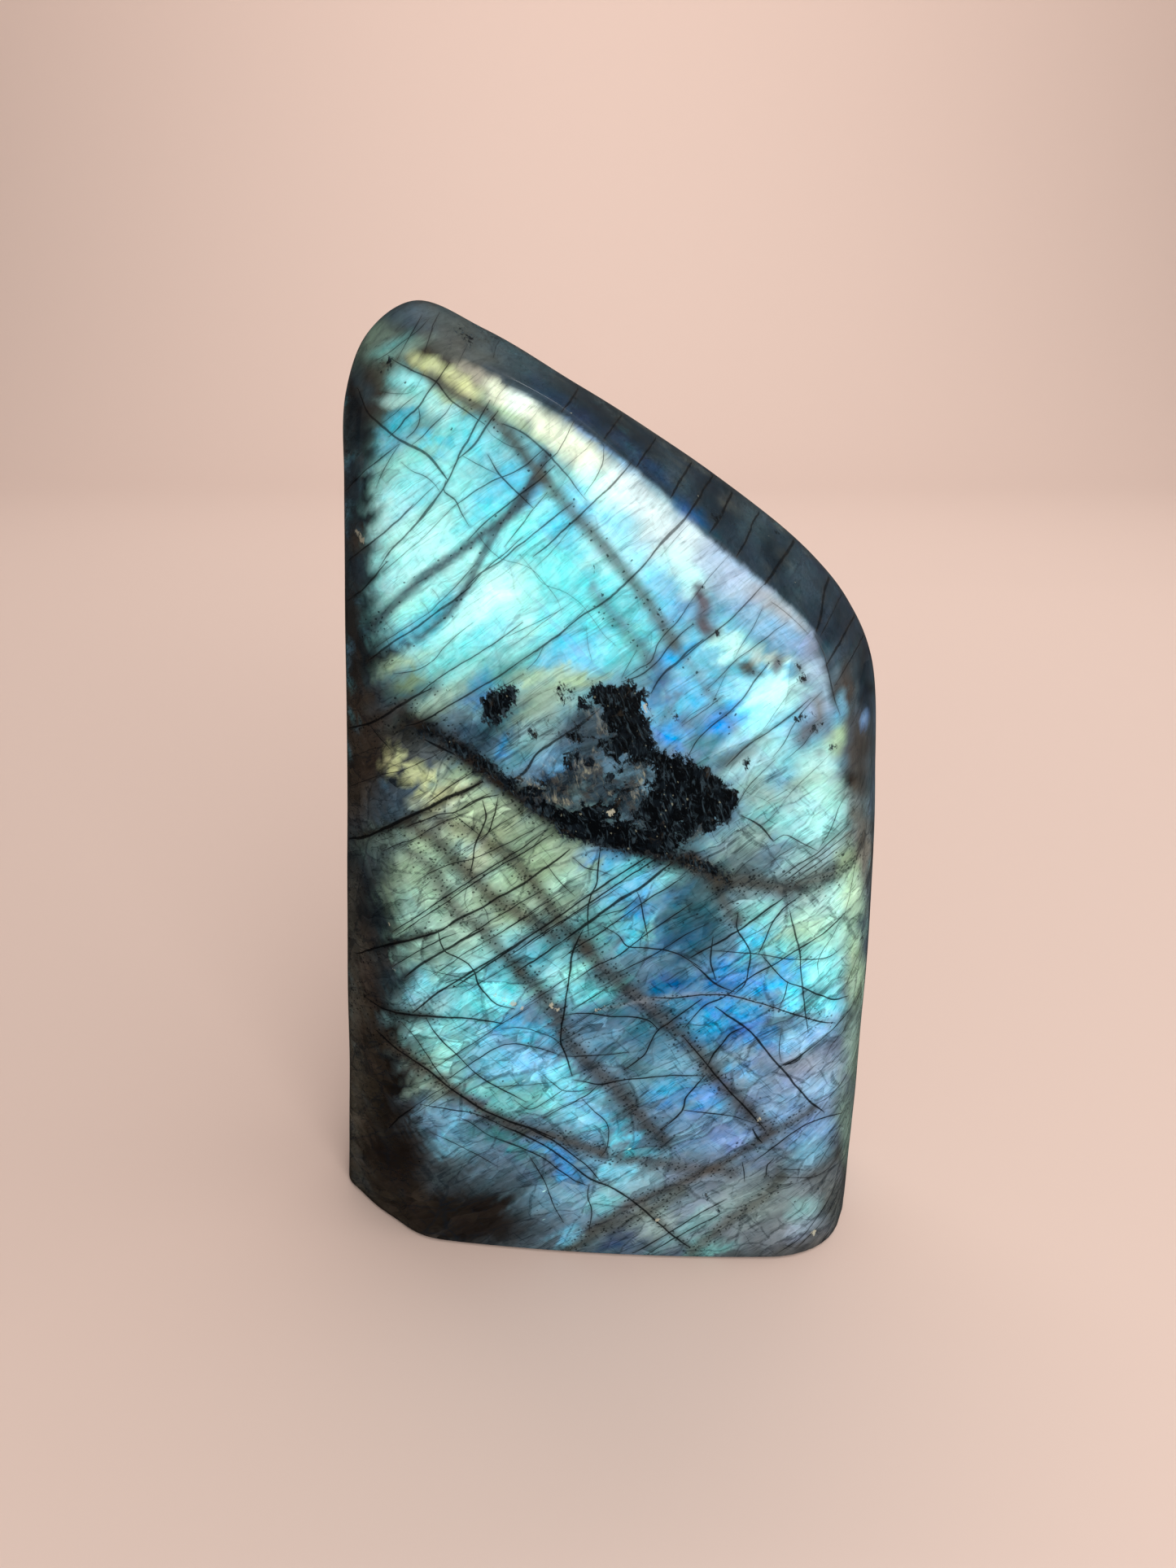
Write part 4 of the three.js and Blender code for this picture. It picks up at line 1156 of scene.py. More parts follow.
     1020, 1140,
     1042, 1118),
    (1.2, 0.75, 870, 1168, 900, 1170, 925, 1172, 950, 1176, 975, 1179, 1000, 1179, 1020, 1175, 1036, 1163),
    (1.6, 0.8, 907, 1122, 905, 1140, 914, 1156, 922, 1170, 920, 1190, 915, 1210, 902, 1222),
    (1.5, 0.85, 932, 1172, 940, 1156, 948, 1136, 956, 1124, 967, 1113, 982, 1102),
    (2.2, 0.6, 970, 1118, 975, 1140, 981, 1162, 984, 1188, 986, 1212, 989, 1240, 993, 1268),
    (1.6, 0.85, 936, 1174, 950, 1190, 966, 1206, 985, 1213, 1005, 1222, 1025, 1228, 1042, 1224),
    (2.0, 0.85, 850, 1184, 865, 1196, 875, 1206, 886, 1213, 902, 1219),
    (2.2, 0.7, 876, 1152, 873, 1180, 880, 1206),
    (1.4, 0.8, 968, 1206, 965, 1221, 958, 1237),
    (1.0, 0.6, 1006, 1200, 1005, 1185, 1010, 1170, 1022, 1152, 1034, 1128),
    (1.8, 0.8, 800, 1226, 830, 1226, 860, 1223, 890, 1223, 920, 1229, 950, 1238, 980, 1248, 1010, 1256,
     1026, 1257),
    (2.2, 0.9, 880, 1238, 900, 1252, 915, 1262, 926, 1272, 938, 1287, 952, 1304, 966, 1320, 981, 1338, 996,
     1354,
     1012, 1366),
    (1.8, 0.85, 915, 1262, 898, 1270, 886, 1284, 876, 1297, 868, 1312),
    (2.0, 0.8, 838, 1272, 860, 1298, 880, 1322, 900, 1345, 920, 1366, 938, 1386),
    (1.5, 0.75, 838, 1364, 870, 1368, 900, 1372, 926, 1380),
    (1.2, 0.7, 960, 1268, 957, 1288, 960, 1305),
    (1.2, 0.7, 960, 1313, 985, 1296, 1005, 1281, 1026, 1262, 1046, 1238, 1058, 1212),
    (1.2, 0.7, 1000, 1358, 1018, 1348, 1036, 1328, 1050, 1298, 1060, 1260),
    (1.0, 0.7, 1014, 1300, 1022, 1284, 1034, 1270, 1046, 1250),
    (1.6, 0.8, 926, 1428, 950, 1410, 966, 1398, 985, 1385, 1005, 1376, 1034, 1368),
    (1.1, 0.6, 955, 1446, 975, 1447, 1000, 1446, 1020, 1434, 1038, 1405),
    (1.6, 0.6, 955, 1437, 970, 1437, 986, 1438),
    (2.4, 0.7, 950, 1425, 943, 1432, 941, 1446),
    (2.2, 0.6, 912, 1428, 914, 1440, 915, 1452),
    (3.4, 0.95, 925, 1388, 930, 1397, 936, 1404),
    (2.2, 0.9, 616, 1383, 650, 1398, 680, 1415, 702, 1431, 725, 1449, 750, 1459, 770, 1471, 790, 1486, 810,
     1504,
     830, 1521, 846, 1532),
    (1.8, 0.85, 648, 1386, 680, 1402, 702, 1418, 722, 1434, 738, 1452),
    (1.6, 0.8, 612, 1399, 640, 1410, 670, 1425, 690, 1440, 707, 1451, 722, 1457),
    (1.6, 0.8, 724, 1456, 722, 1470, 727, 1486, 724, 1512),
    (1.5, 0.7, 650, 1420, 660, 1436, 671, 1456, 680, 1480, 692, 1502),
    (1.8, 0.7, 776, 1541, 802, 1527, 830, 1510, 860, 1491, 892, 1474),
    (1.5, 0.7, 796, 1541, 830, 1521, 860, 1505, 892, 1488),
    (1.5, 0.7, 954, 1541, 985, 1520, 1005, 1495, 1020, 1470, 1036, 1436),
    (1.3, 0.7, 980, 1532, 1010, 1502, 1026, 1474, 1040, 1440),
    (1.2, 0.6, 1000, 1440, 1015, 1416, 1030, 1391, 1042, 1362),
    (1.1, 0.6, 1036, 1130, 1044, 1100, 1050, 1068, 1058, 1030),
    (1.1, 0.6, 1040, 1210, 1052, 1180, 1062, 1150),
    (1.0, 0.5, 1046, 1000, 1056, 975, 1064, 950),
    (1.1, 0.5, 1040, 900, 1052, 880, 1062, 850),
    (1.2, 0.5, 606, 440, 610, 425, 618, 412),
    (1.0, 0.5, 626, 470, 612, 486, 606, 498),
    (1.3, 0.7, 488, 442, 497, 425, 508, 405, 518, 388),
    (1.2, 0.6, 522, 433, 527, 415, 533, 398, 540, 384),
    (1.2, 0.6, 462, 443, 478, 433, 495, 420, 512, 408, 527, 392),
    (1.0, 0.5, 560, 452, 568, 436, 574, 424),
]


crackSetting = {
    "halfWidth": 0.11,  # millimetres for each unit of width
    "endLength": 2.5,  # how far from its ends a crack narrows
    "wander": 0.12,
    "darkPower": 1.2,
    "halo": (2.2, 0.35),  # times the half width, and millimetres beyond that
}


# A line on the stone becomes a crack: a little unsteady, and narrower at its ends
def openCrack(line, width, dark, seed):
    steps = np.append(0, np.cumsum(np.linalg.norm(np.diff(line, axis=0), axis=1)))
    ends = np.minimum(1, np.minimum(steps, steps[-1] - steps) / crackSetting["endLength"])
    row = steps * 0 + seed
    wander = softNoise(steps / 1.7 + seed * 3.1, row) + 0.5 * softNoise(steps / 0.6 + seed, row + 9) - 0.75
    uneven = 0.75 + 0.5 * softNoise(steps / 2.3 + seed, row + 5)
    half = width * crackSetting["halfWidth"] * (0.35 + 0.65 * ends) * uneven
    normal = np.array([surface.find_nearest(Vector(p))[1] for p in line])
    side = np.cross(np.gradient(line, axis=0), normal)
    side /= np.linalg.norm(side, axis=1)[:, None]
    line = line + side * (wander * crackSetting["wander"] * ends)[:, None]
    rows = [line + side * (half * k)[:, None] for k in (-1, 0, 1)]
    return {"line": line, "rows": rows, "half": half, "dark": dark ** crackSetting["darkPower"]}


def crackOnStone(row, seed):
    course = courseOf(row[2:])
    spots = [spotOnStone(*spot) for spot in lineThrough(course, np.linspace(0, 1, 8 * len(course)))]
    spots = np.array([spot for spot in spots if spot is not None])
    if len(spots) < 4:
        return None
    travel = np.append(0, np.cumsum(np.linalg.norm(np.diff(spots, axis=0), axis=1)))
    steps = np.linspace(0, travel[-1], max(4, int(travel[-1] / stoneSteps["alongCrack"]) + 1))
    line = np.stack([np.interp(steps, travel, spots[:, k]) for k in range(3)], axis=1)
    return openCrack(line, row[0], row[1], seed)


frontCracks = [crackOnStone(row, seed) for seed, row in enumerate(cracks)]
frontCracks = [crack for crack in frontCracks if crack is not None]

# The back isn't seen in the photograph: the same layers run through, with cracks of their own
backSetting = {"layers": 26, "crossings": 16, "rise": 35, "seed": 11}


def crackAcrossBack(start, turn, length, width, dark, seed):
    steps = np.arange(0, length, stoneSteps["alongCrack"])
    bend = (softNoise(steps / 22 + seed, steps * 0 + seed) - 0.5) * 5
    angle = math.radians(turn)
    x = start[0] + steps * math.cos(angle) - bend * math.sin(angle)
    z = start[1] + steps * math.sin(angle) + bend * math.cos(angle)
    line = []
    for px, pz in zip(x, z):
        hit = surface.ray_cast(Vector((px, stoneSteps["castFrom"], pz)), Vector((0, -1, 0)))
        if hit[0] is not None and hit[0].z > 1.5:
            line.append(hit[0])
        elif line:
            break
    return openCrack(np.array(line), width, dark, seed) if len(line) > 8 else None


def makeBackCracks():
    b = backSetting
    chance = np.random.default_rng(b["seed"])
    found = []
    for number in range(b["layers"] + b["crossings"]):
        start = (chance.uniform(-42, 25), chance.uniform(4, 130))
        layer = number < b["layers"]
        turn = b["rise"] + chance.uniform(-5, 5) if layer else chance.uniform(-75, -25)
        length = chance.uniform(18, 60) if layer else chance.uniform(12, 45)
        width, dark = chance.uniform(1, 2.5), chance.uniform(0.5, 0.95)
        found.append(crackAcrossBack(start, turn, length, width, dark, number + 40))
    return [crack for crack in found if crack is not None]


backCracks = makeBackCracks()
print("cracks laid out:", len(frontCracks), "in front,", len(backCracks), "behind")


# How much each corner of a triangle counts at a point in it
def cornerWeights(point, corners):
    a, b, c = corners
    ab, ac, ap = b - a, c - a, point - a
    d00, d01, d11, d20, d21 = ab @ ab, ab @ ac, ac @ ac, ap @ ab, ap @ ac
    size = d00 * d11 - d01 * d01
    if abs(size) < 1e-12:
        return np.array([1.0, 0, 0])
    v, w = (d11 * d20 - d01 * d21) / size, (d00 * d21 - d01 * d20) / size
    weights = np.clip([1 - v - w, v, w], 1e-6, None)
    return weights / weights.sum()


# A skin of even triangles over one side of the body, with vertices along every crack
def layHalf(known, boundary, inner, gridStep, cracksHere, side):
    place = body["place"]
    loop = place[inner][:, [0, 2]]
    low, high = loop.min(axis=0), loop.max(axis=0)
    grid = []
    for number, z in enumerate(np.arange(low[1], high[1], gridStep * 0.866)):
        x = np.arange(low[0] + (number % 2) * gridStep / 2, high[0], gridStep)
        grid.append(np.stack([x, np.full_like(x, z)], axis=1))
    grid = np.vstack(grid)
    grid = grid[depthInside(grid, loop) > gridStep * 0.4]
    flat = [place[known][:, [0, 2]], grid]
    count = len(known) + len(grid)
    numberOf = {int(vertex): number for number, vertex in enumerate(known)}
    edges = [(numberOf[int(a)], numberOf[int(b)]) for a, b in zip(boundary, np.roll(boundary, -1))]
    rim = place[boundary][:, [0, 2]]
    for crack in cracksHere:
        for line in crack["rows"]:
            spots = line[:, [0, 2]]
            keep = depthInside(spots, rim) > 0.25
            ids = np.full(len(spots), -1)
            ids[keep] = count + np.arange(keep.sum())
            flat.append(spots[keep])
            count += int(keep.sum())
            edges += [(int(a), int(b)) for a, b in zip(ids[:-1], ids[1:]) if a >= 0 and b >= 0]
    result = delaunay_2d_cdt([Vector(p) for p in np.vstack(flat)], edges, [], 1, 1e-4)
    vertexIds, new, bands, normals = [], [], [], []
    for spot, origins in zip(result[0], result[3]):
        source = [o for o in origins if o < len(known)]
        if source:
            vertexIds.append(int(known[source[0]]))
            continue
        start = Vector((spot[0], -stoneSteps["castFrom"] * side, spot[1]))
        hit = surface.ray_cast(start, Vector((0, side, 0)))
        corners = body["triangles"][hit[2]]
        weights = cornerWeights(np.array(hit[0]), place[corners])
        vertexIds.append(len(place) + len(new))
        new.append(tuple(hit[0]))
        bands.append(weights @ body["band"][corners])
        normals.append(weights @ body["normals"][corners])
    triangles = np.array(vertexIds)[np.array(result[2])]
    body["place"] = np.vstack([place, new])
    body["band"] = np.append(body["band"], bands)
    body["normals"] = np.vstack([body["normals"], normals])
    print("half of the skin laid:", len(triangles), "triangles")
    return triangles


def faceOutward(triangles):
    place, normals = body["place"], body["normals"]
    a, b, c = (place[triangles[:, k]] for k in range(3))
    wrong = (np.cross(b - a, c - a) * normals[triangles].sum(axis=1)).sum(axis=1) < 0
    triangles = triangles.copy()
    triangles[wrong] = triangles[wrong][:, ::-1]
    return triangles


def laySkin():
    rimIds, footIds = body["rimIds"], body["footIds"]
    first, last = body["frontEnd"], body["backStart"]
    front = np.concatenate([rimIds[:, first], rimIds[-1, first - 1 :: -1], footIds[0], rimIds[0, :first]])
    back = np.concatenate([rimIds[:, last], rimIds[-1, last + 1 :], footIds[4], rimIds[0, : last : -1]])
    frontKnown = np.concatenate([rimIds[:, : first + 1].ravel(), footIds[0]])
    backKnown = np.concatenate([rimIds[:, last:].ravel(), footIds[4]])
    frontInner = np.append(rimIds[:, 0], footIds[0])
    backInner = np.append(rimIds[:, -1], footIds[4])
    skin = [
        layHalf(frontKnown, front, frontInner, stoneSteps["frontGrid"], frontCracks, 1),
        layHalf(backKnown, back, backInner, stoneSteps["backGrid"], backCracks, -1),
        splitGrid(rimIds[:, first : last + 1]),
    ]
    triangles = np.vstack([faceOutward(np.vstack(skin)), body["foot"]])
    used, renumbered = np.unique(triangles, return_inverse=True)
    normals = body["normals"][used]
    normals /= np.linalg.norm(normals, axis=1)[:, None]
    return body["place"][used], body["band"][used], normals, renumbered.reshape(triangles.shape)


# Spots moved along the layers, each layer by its own amount, so that fields end in streaks
def alongLayers(spots, reach):
    rise = math.radians(stoneFlow["rise"])
    along = spots[:, 0] * math.cos(rise) - spots[:, 1] * math.sin(rise)
    across = spots[:, 0] * math.sin(rise) + spots[:, 1] * math.cos(rise)
    across = across + 9 * softNoise(along / 90, across / 70)
    shift = softNoise(across / stoneFlow["layer"], along / 160)
    shift = shift + 0.6 * softNoise(across / 3.7 + 30, along / 90) - 0.8
    ridge = courseOf(stoneFlow["ridge"])
    reach = reach * (0.12 + 0.88 * smoothStep(15, 110, gapTo(spots, ridge)[0]))
    return spots + (shift * reach)[:, None] * np.array([math.cos(rise), -math.sin(rise)])


def layTone(colour, near, tone, share):
    colour[near] += (toneOf(tone) - colour[near]) * share[:, None]


def nearSpot(spots, u, v, reach):
    return np.nonzero(np.abs(spots - (u, v)).max(axis=1) < reach)[0]


# How far out in a turned oval: nothing at its middle, 1 at its edge
def outInOval(du, dv, length, width, turn):
    angle = math.radians(turn)
    along = (du * math.cos(angle) - dv * math.sin(angle)) / length
    across = (du * math.sin(angle) + dv * math.cos(angle)) / width
    return np.hypot(along, across)


def paintPatches(colour, spots, patches):
    for number, (tone, u, v, length, width, turn, strength) in enumerate(patches):
        near = nearSpot(spots, u, v, max(length, width) * 1.5 + 20)
        du, dv = (spots[near] - (u, v)).T
        a, b = spots[near, 0] / 13 + number, spots[near, 1] / 13
        warp = min(16, 5 + min(length, width) * 0.3)
        du = du + (softNoise(a, b) - 0.5) * warp
        dv = dv + (softNoise(a + 17, b + 5) - 0.5) * warp
        soft = 0.5 if max(length, width) > 100 else 0.8
        out = outInOval(du, dv, length, width, turn)
        share = strength * (1 - smoothStep(1 - soft * 0.9, 1 + soft * 0.5, out))
        layTone(colour, near, tone, share)


def paintStrands(spots):
    strand = np.zeros(len(spots))
    for u, v, length, width, turn in strands:
        du, dv = (spots - (u, v)).T
        strand = np.maximum(strand, 1 - smoothStep(0.4, 1.4, outInOval(du, dv, length, width, turn)))
    return strand


def paintBands(colour, spots):
    pepper = np.zeros(len(spots))
    for number, (tone, width, strength, *course) in enumerate(softBands):
        course = courseOf(course)
        near = nearBox(spots, course, width * 3)
        gap = gapTo(spots[near], lineThrough(course, np.linspace(0, 1, 6 * len(course))))[0]
        gap = gap + (softNoise(spots[near, 0] / 6 + number, spots[near, 1] / 6) - 0.5) * width * 0.35
        share = strength * (1 - smoothStep(width * 0.1, width * 1.6, gap))
        layTone(colour, near, tone, share)
        pepper[near] = np.maximum(pepper[near], 1 - smoothStep(width * 0.4, width * 1.8, gap))
    return pepper


def paintCracks(place):
    dark, halo = np.zeros(len(place)), np.zeros(len(place))
    wider, beyond = crackSetting["halo"]
    for crack in frontCracks + backCracks:
        line, half = crack["line"], crack["half"]
        near = nearBox(place, line, half.max() * 3 + 0.4)
        gap, at = gapTo(place[near], line)
        half = np.interp(at, np.arange(len(line)), half)
        dark[near] = np.maximum(dark[near], crack["dark"] * np.clip(1 - gap / half, 0, 1))
        soft = np.clip(1 - gap / (half * wider + beyond), 0, 1) ** 2
        halo[near] = np.maximum(halo[near], crack["dark"] * soft)
    return dark, halo


def paintSpots(spots, rounds):
    depth = np.full(len(spots), -60.0)
    for u, v, radius in rounds:
        near = nearSpot(spots, u, v, 50)
        depth[near] = np.maximum(depth[near], radius - np.hypot(*(spots[near] - (u, v)).T))
    return depth


# Everything that is laid on the skin at its vertices
def paintSkin(place, bands):
    spots = spotInPhoto(place)
    colour = np.tile(toneOf("umber"), (len(place), 1))
    paintPatches(colour, alongLayers(spots, stoneFlow["faceReach"]), facePatches)
    paintPatches(colour, spots, dullBlots)
    pepper = paintBands(colour, spots)
    beyond = depthInside(spots, courseOf(topShape)) + 5 * softNoise(spots[:, 0] / 9, spots[:, 1] / 9)
    lower = spots[:, 1] + 50 * softNoise(spots[:, 0] / 12, spots[:, 1] / 20)
    beyond = smoothStep(-3, 6, beyond) * (1 - smoothStep(820, 920, lower))
    layTone(colour, slice(None), "nightSlate", beyond)
    paintPatches(colour, alongLayers(spots, stoneFlow["sideReach"]), sidePatches)
    dark, halo = paintCracks(place)
    black = paintSpots(spots, blackSpots)
    for outline in blackShapes:
        outline = courseOf(outline)
        near = nearBox(spots, outline, 40)
        black[near] = np.maximum(black[near], depthInside(spots[near], outline))
    for half, *course in blackVeins:
        course = courseOf(course)
        near = nearBox(spots, course, 60)
        black[near] = np.maximum(black[near], half - 0.8 * gapTo(spots[near], course)[0])
    mixed = depthInside(spots, courseOf(mixedShape))
    x, y, z = place.T
    ragged = softNoise(x / 3 + z / 5, z / 4) + softNoise(y / 1.5, z / 1.7)
    behind = smoothStep(1.65, 3.05, bands + 1.1 * (ragged - 1))
    inFront = 1 - behind
    return {
        "flash": colour,
        "crackDark": dark,
        "crackHalo": halo,
        "black": np.clip(0.5 + black / 44, 0, 1) * inFront,
        "crumb": np.clip(0.5 + paintSpots(spots, crumbs) / 8, 0, 1) * inFront,
        "flecks": smoothStep(0, 30, paintSpots(spots, fleckAreas)) * inFront,
        "mixed": smoothStep(-12, 14, mixed) * inFront,
        "strand": paintStrands(spots) * inFront,
        "pepper": pepper * inFront,
        "worn": smoothStep(0, 30, paintSpots(spots, wornAreas)) * inFront,
        "calm": (1 - smoothStep(820, 1000, spots[:, 1] - 0.25 * (spots[:, 0] - 720))) * inFront,
        "behind": behind,
    }


def skinMesh():
    place, bands, normals, triangles = laySkin()
    marks = paintSkin(place, bands)
    mesh = bpy.data.meshes.new("stone polished")
    mesh.from_pydata((place * mm).tolist(), [], triangles.tolist())
    for name, values in marks.items():
        if name == "flash":
            layer = mesh.attributes.new(name, "FLOAT_COLOR", "POINT")
            layer.data.foreach_set("color", np.hstack([values, np.ones((len(values), 1))]).ravel())
        else:
            layer = mesh.attributes.new(name, "FLOAT", "POINT")
            layer.data.foreach_set("value", values.astype(float))
    mesh.shade_smooth()
    mesh.normals_split_custom_set_from_vertices(normals.tolist())
    mesh.update()
    return mesh


def addObject(name, data):
    made = bpy.data.objects.new(name, data)
    bpy.context.scene.collection.objects.link(made)
    return made


stone = addObject("stone_polished", skinMesh())
print("stone laid:", len(stone.data.polygons), "triangles")


# Small helpers that keep the material readable
class NodeBench:
    def __init__(self, material):
        material.use_nodes = True
        self.tree = material.node_tree
        self.tree.nodes.clear()

    def add(self, kind, **settings):
        node = self.tree.nodes.new(kind)
        for name, value in settings.items():
            setattr(node, name, value)
        return node

    def feed(self, socket, value):
        if isinstance(value, bpy.types.NodeSocket):
            self.tree.links.new(value, socket)
        else:
            socket.default_value = value

    def math(self, operation, *values):
        node = self.add("ShaderNodeMath", operation=operation)
        for socket, value in zip(node.inputs, values):
            self.feed(socket, value)
        return node.outputs[0]

    def vector(self, operation, *values):
        node = self.add("ShaderNodeVectorMath", operation=operation)
        for socket, value in zip(node.inputs, values):
            self.feed(socket, value)
        return node.outputs["Value"] if operation == "DOT_PRODUCT" else node.outputs["Vector"]

    def joined(self, x, y, z):
        node = self.add("ShaderNodeCombineXYZ")
        for socket, value in zip(node.inputs, (x, y, z)):
            self.feed(socket, value)
        return node.outputs[0]

    def parts(self, colour):
        node = self.add("ShaderNodeSeparateColor")
        self.feed(node.inputs[0], colour)
        return node.outputs

    def ramp(self, value, low, high, toLow=0.0, toHigh=1.0):
        node = self.add("ShaderNodeMapRange", interpolation_type="SMOOTHSTEP")
        for socket, number in zip(node.inputs, (value, low, high, toLow, toHigh)):
            self.feed(socket, number)
        return node.outputs["Result"]

    def times(self, first, second):
        return self.math("MULTIPLY", first, second)

    # A number that strays to both sides of nothing as the noise does
    def stray(self, noise, amount):
        return self.times(self.math("SUBTRACT", noise, 0.5), amount)

    def sum(self, *values):
        total = values[0]
        for value in values[1:]:
            total = self.math("ADD", total, value)
        return total

    def mix(self, share, first, second):
        node = self.add("ShaderNodeMix", data_type="RGBA")
        for number, value in ((0, share), (6, first), (7, second)):
            self.feed(node.inputs[number], value)
        return node.outputs[2]

    # A tone laid over what is there, where a pattern is strong
    def glaze(self, under, tone, pattern, low, high, most=1.0):
        return self.mix(self.ramp(pattern, low, high, 0.0, most), under, toneColour(tone))

    def attribute(self, name, output="Fac"):
        return self.add("ShaderNodeAttribute", attribute_name=name).outputs[output]

    def noise(self, place, scale, detail=3.0, roughness=0.5, warp=0.0):
        node = self.add("ShaderNodeTexNoise")
        self.feed(node.inputs["Vector"], place)
        settings = {"Scale": scale, "Detail": detail, "Roughness": roughness, "Distortion": warp}
        for name, value in settings.items():
            node.inputs[name].default_value = value
        return node.outputs

    def cells(self, place, scale, feature="F1"):
        node = self.add("ShaderNodeTexVoronoi", feature=feature)
        self.feed(node.inputs["Vector"], place)
        node.inputs["Scale"].default_value = scale
        return node.outputs


def toneColour(name):
    return (*toneOf(name), 1)


stoneFinish = {
    "rise": 35,  # degrees at which the layers climb to the right
    "fall": -44,  # degrees at which the second set of cracks falls
    "crackSharpness": (0.1, 0.5),
    "roughness": (0.06, 0.2),
    "index": 1.56,
    "gloss": 0.07,
    "wornRoughness": 0.35,
    "fibreTurn": 108,  # degrees at which the fibres of the black mineral stand
    "relief": (0.3, 0.0002),  # strength, and depth in metres
}


def makeLabradorite():
    f = stoneFinish
    material = bpy.data.materials.new("polished labradorite")
    bench = NodeBench(material)
    inMm = bench.vector("MULTIPLY", bench.add("ShaderNodeTexCoord").outputs["Object"], (1000, 1000, 1000))
    deep = bench.vector("DOT_PRODUCT", inMm, (0, 1, 0))
    wobble = bench.noise(inMm, 0.12, 2.0)["Fac"]
    grain = bench.noise(inMm, 1.6, 4.0, 0.65)["Fac"]
    clouds = bench.noise(inMm, 0.28, 4.0, 0.6)["Fac"]
    lots = bench.noise(inMm, 0.55, 3.0, 0.6)["Fac"]
    busy = bench.math("MULTIPLY_ADD", bench.attribute("calm"), -0.75, 1.0)

    # Places measured along and across a set of layers
    def layersAt(start, turn, stretch, bend):
        angle = math.radians(turn)
        along = bench.vector("DOT_PRODUCT", start, (math.cos(angle), 0, math.sin(angle)))
        across = bench.vector("DOT_PRODUCT", start, (-math.sin(angle), 0, math.cos(angle)))
        return bench.joined(
            bench.times(along, stretch),
            bench.times(deep, 0.25),
            bench.math("MULTIPLY_ADD", wobble, bend, across),
        )

    # Thin lines where a noise passes through its middle
    def linesIn(place, scale, width, strength):
        field = bench.noise(place, scale, 2.0, 0.5)["Fac"]
        away = bench.math("ABSOLUTE", bench.math("SUBTRACT", field, 0.5))
        return bench.ramp(away, 0.0, width, strength, 0.0)

    # Painted shade and light: each cell is made lighter towards one side and darker towards the other, as if
    # it leaned its own way
    def paintedCellShade(place, scale):
        cell = bench.cells(place, scale)
        inside = bench.vector("SUBTRACT", place, cell["Position"])
        lean = bench.vector("SUBTRACT", cell["Color"], (0.5, 0.5, 0.5))
        return bench.times(bench.vector("DOT_PRODUCT", inside, lean), scale)

    rising = layersAt(inMm, f["rise"], 0.07, 5.0)
    falling = layersAt(inMm, f["fall"], 0.1, 7.0)
    fineStreaks = bench.noise(rising, 2.6, 4.0, 0.6)["Fac"]
    wideStreaks = bench.noise(rising, 0.42, 3.0, 0.55)["Fac"]
    fallStreaks = bench.noise(falling, 0.5, 3.0, 0.55)["Fac"]

    # Cells between the cracks, each with a tone of its own
    bent = bench.vector("MULTIPLY_ADD", bench.noise(inMm, 0.2, 2.0)["Color"], (2.5, 2.5, 2.5), inMm)
    squeezed = layersAt(bent, f["rise"], 0.42, 0.0)
    slices = bench.parts(bench.cells(layersAt(bent, f["rise"], 0.12, 0.0), 0.5)["Color"])
    slabs = bench.parts(bench.cells(layersAt(bent, f["fall"], 0.16, 0.0), 0.26)["Color"])
    wideCells = bench.parts(bench.cells(squeezed, 0.16)["Color"])
    wideEdges = bench.cells(squeezed, 0.16, "DISTANCE_TO_EDGE")["Distance"]
    smallCells = bench.parts(bench.cells(squeezed, 0.4)["Color"])
    smallEdges = bench.cells(squeezed, 0.4, "DISTANCE_TO_EDGE")["Distance"]

    # The back: dull grey with soft stretches of blue and green flash
    field = bench.noise(inMm, 0.035, 3.0, 0.5, 0.4)["Fac"]
    field = bench.sum(field, bench.stray(wideStreaks, 0.3), bench.stray(fineStreaks, 0.2))
    dim = bench.sum(bench.times(wideStreaks, 0.6), bench.times(lots, 0.4))
    backTone = bench.mix(bench.ramp(dim, 0.32, 0.62), toneColour("nightSlate"), toneColour("smoke"))
    backTone = bench.glaze(backTone, "stone", fallStreaks, 0.45, 0.7, 0.4)
    backTone = bench.glaze(backTone, "slate", field, 0.45, 0.62, 0.7)
    backTone = bench.glaze(backTone, "teal", field, 0.52, 0.64, 0.7)
    backTone = bench.glaze(backTone, "steel", field, 0.58, 0.7, 0.8)
    backTone = bench.glaze(backTone, "sky", field, 0.64, 0.78)
    colour = bench.mix(bench.attribute("behind"), bench.attribute("flash", "Color"), backTone)

    shift = bench.add("ShaderNodeHueSaturation")
    hue = bench.sum(
        0.494,
        bench.stray(wideStreaks, 0.05),
        bench.stray(wideCells[0], 0.02),
        bench.stray(slabs[0], 0.02),
    )
    value = bench.sum(
        1.1,
        bench.stray(fineStreaks, 0.7),
        bench.stray(fallStreaks, 0.4),
        bench.stray(slices[1], 0.26),
        bench.stray(slabs[1], 0.12),
        bench.times(bench.stray(wideCells[1], 0.26), busy),
        bench.times(bench.stray(smallCells[1], 0.3), busy),
        # painted shade and light across the cells
        bench.times(paintedCellShade(squeezed, 0.16), 0.35),
        bench.times(paintedCellShade(squeezed, 0.4), bench.times(busy, 0.8)),
        bench.times(paintedCellShade(squeezed, 1.0), bench.times(busy, 0.45)),
        bench.stray(grain, 0.3),
    )
    bench.feed(shift.inputs["Hue"], hue)
    bench.feed(shift.inputs["Value"], value)
    bench.feed(shift.inputs["Color"], colour)
    bench.feed(shift.inputs["Saturation"], bench.sum(1.0, bench.stray(lots, 0.5)))
    colour = shift.outputs["Color"]

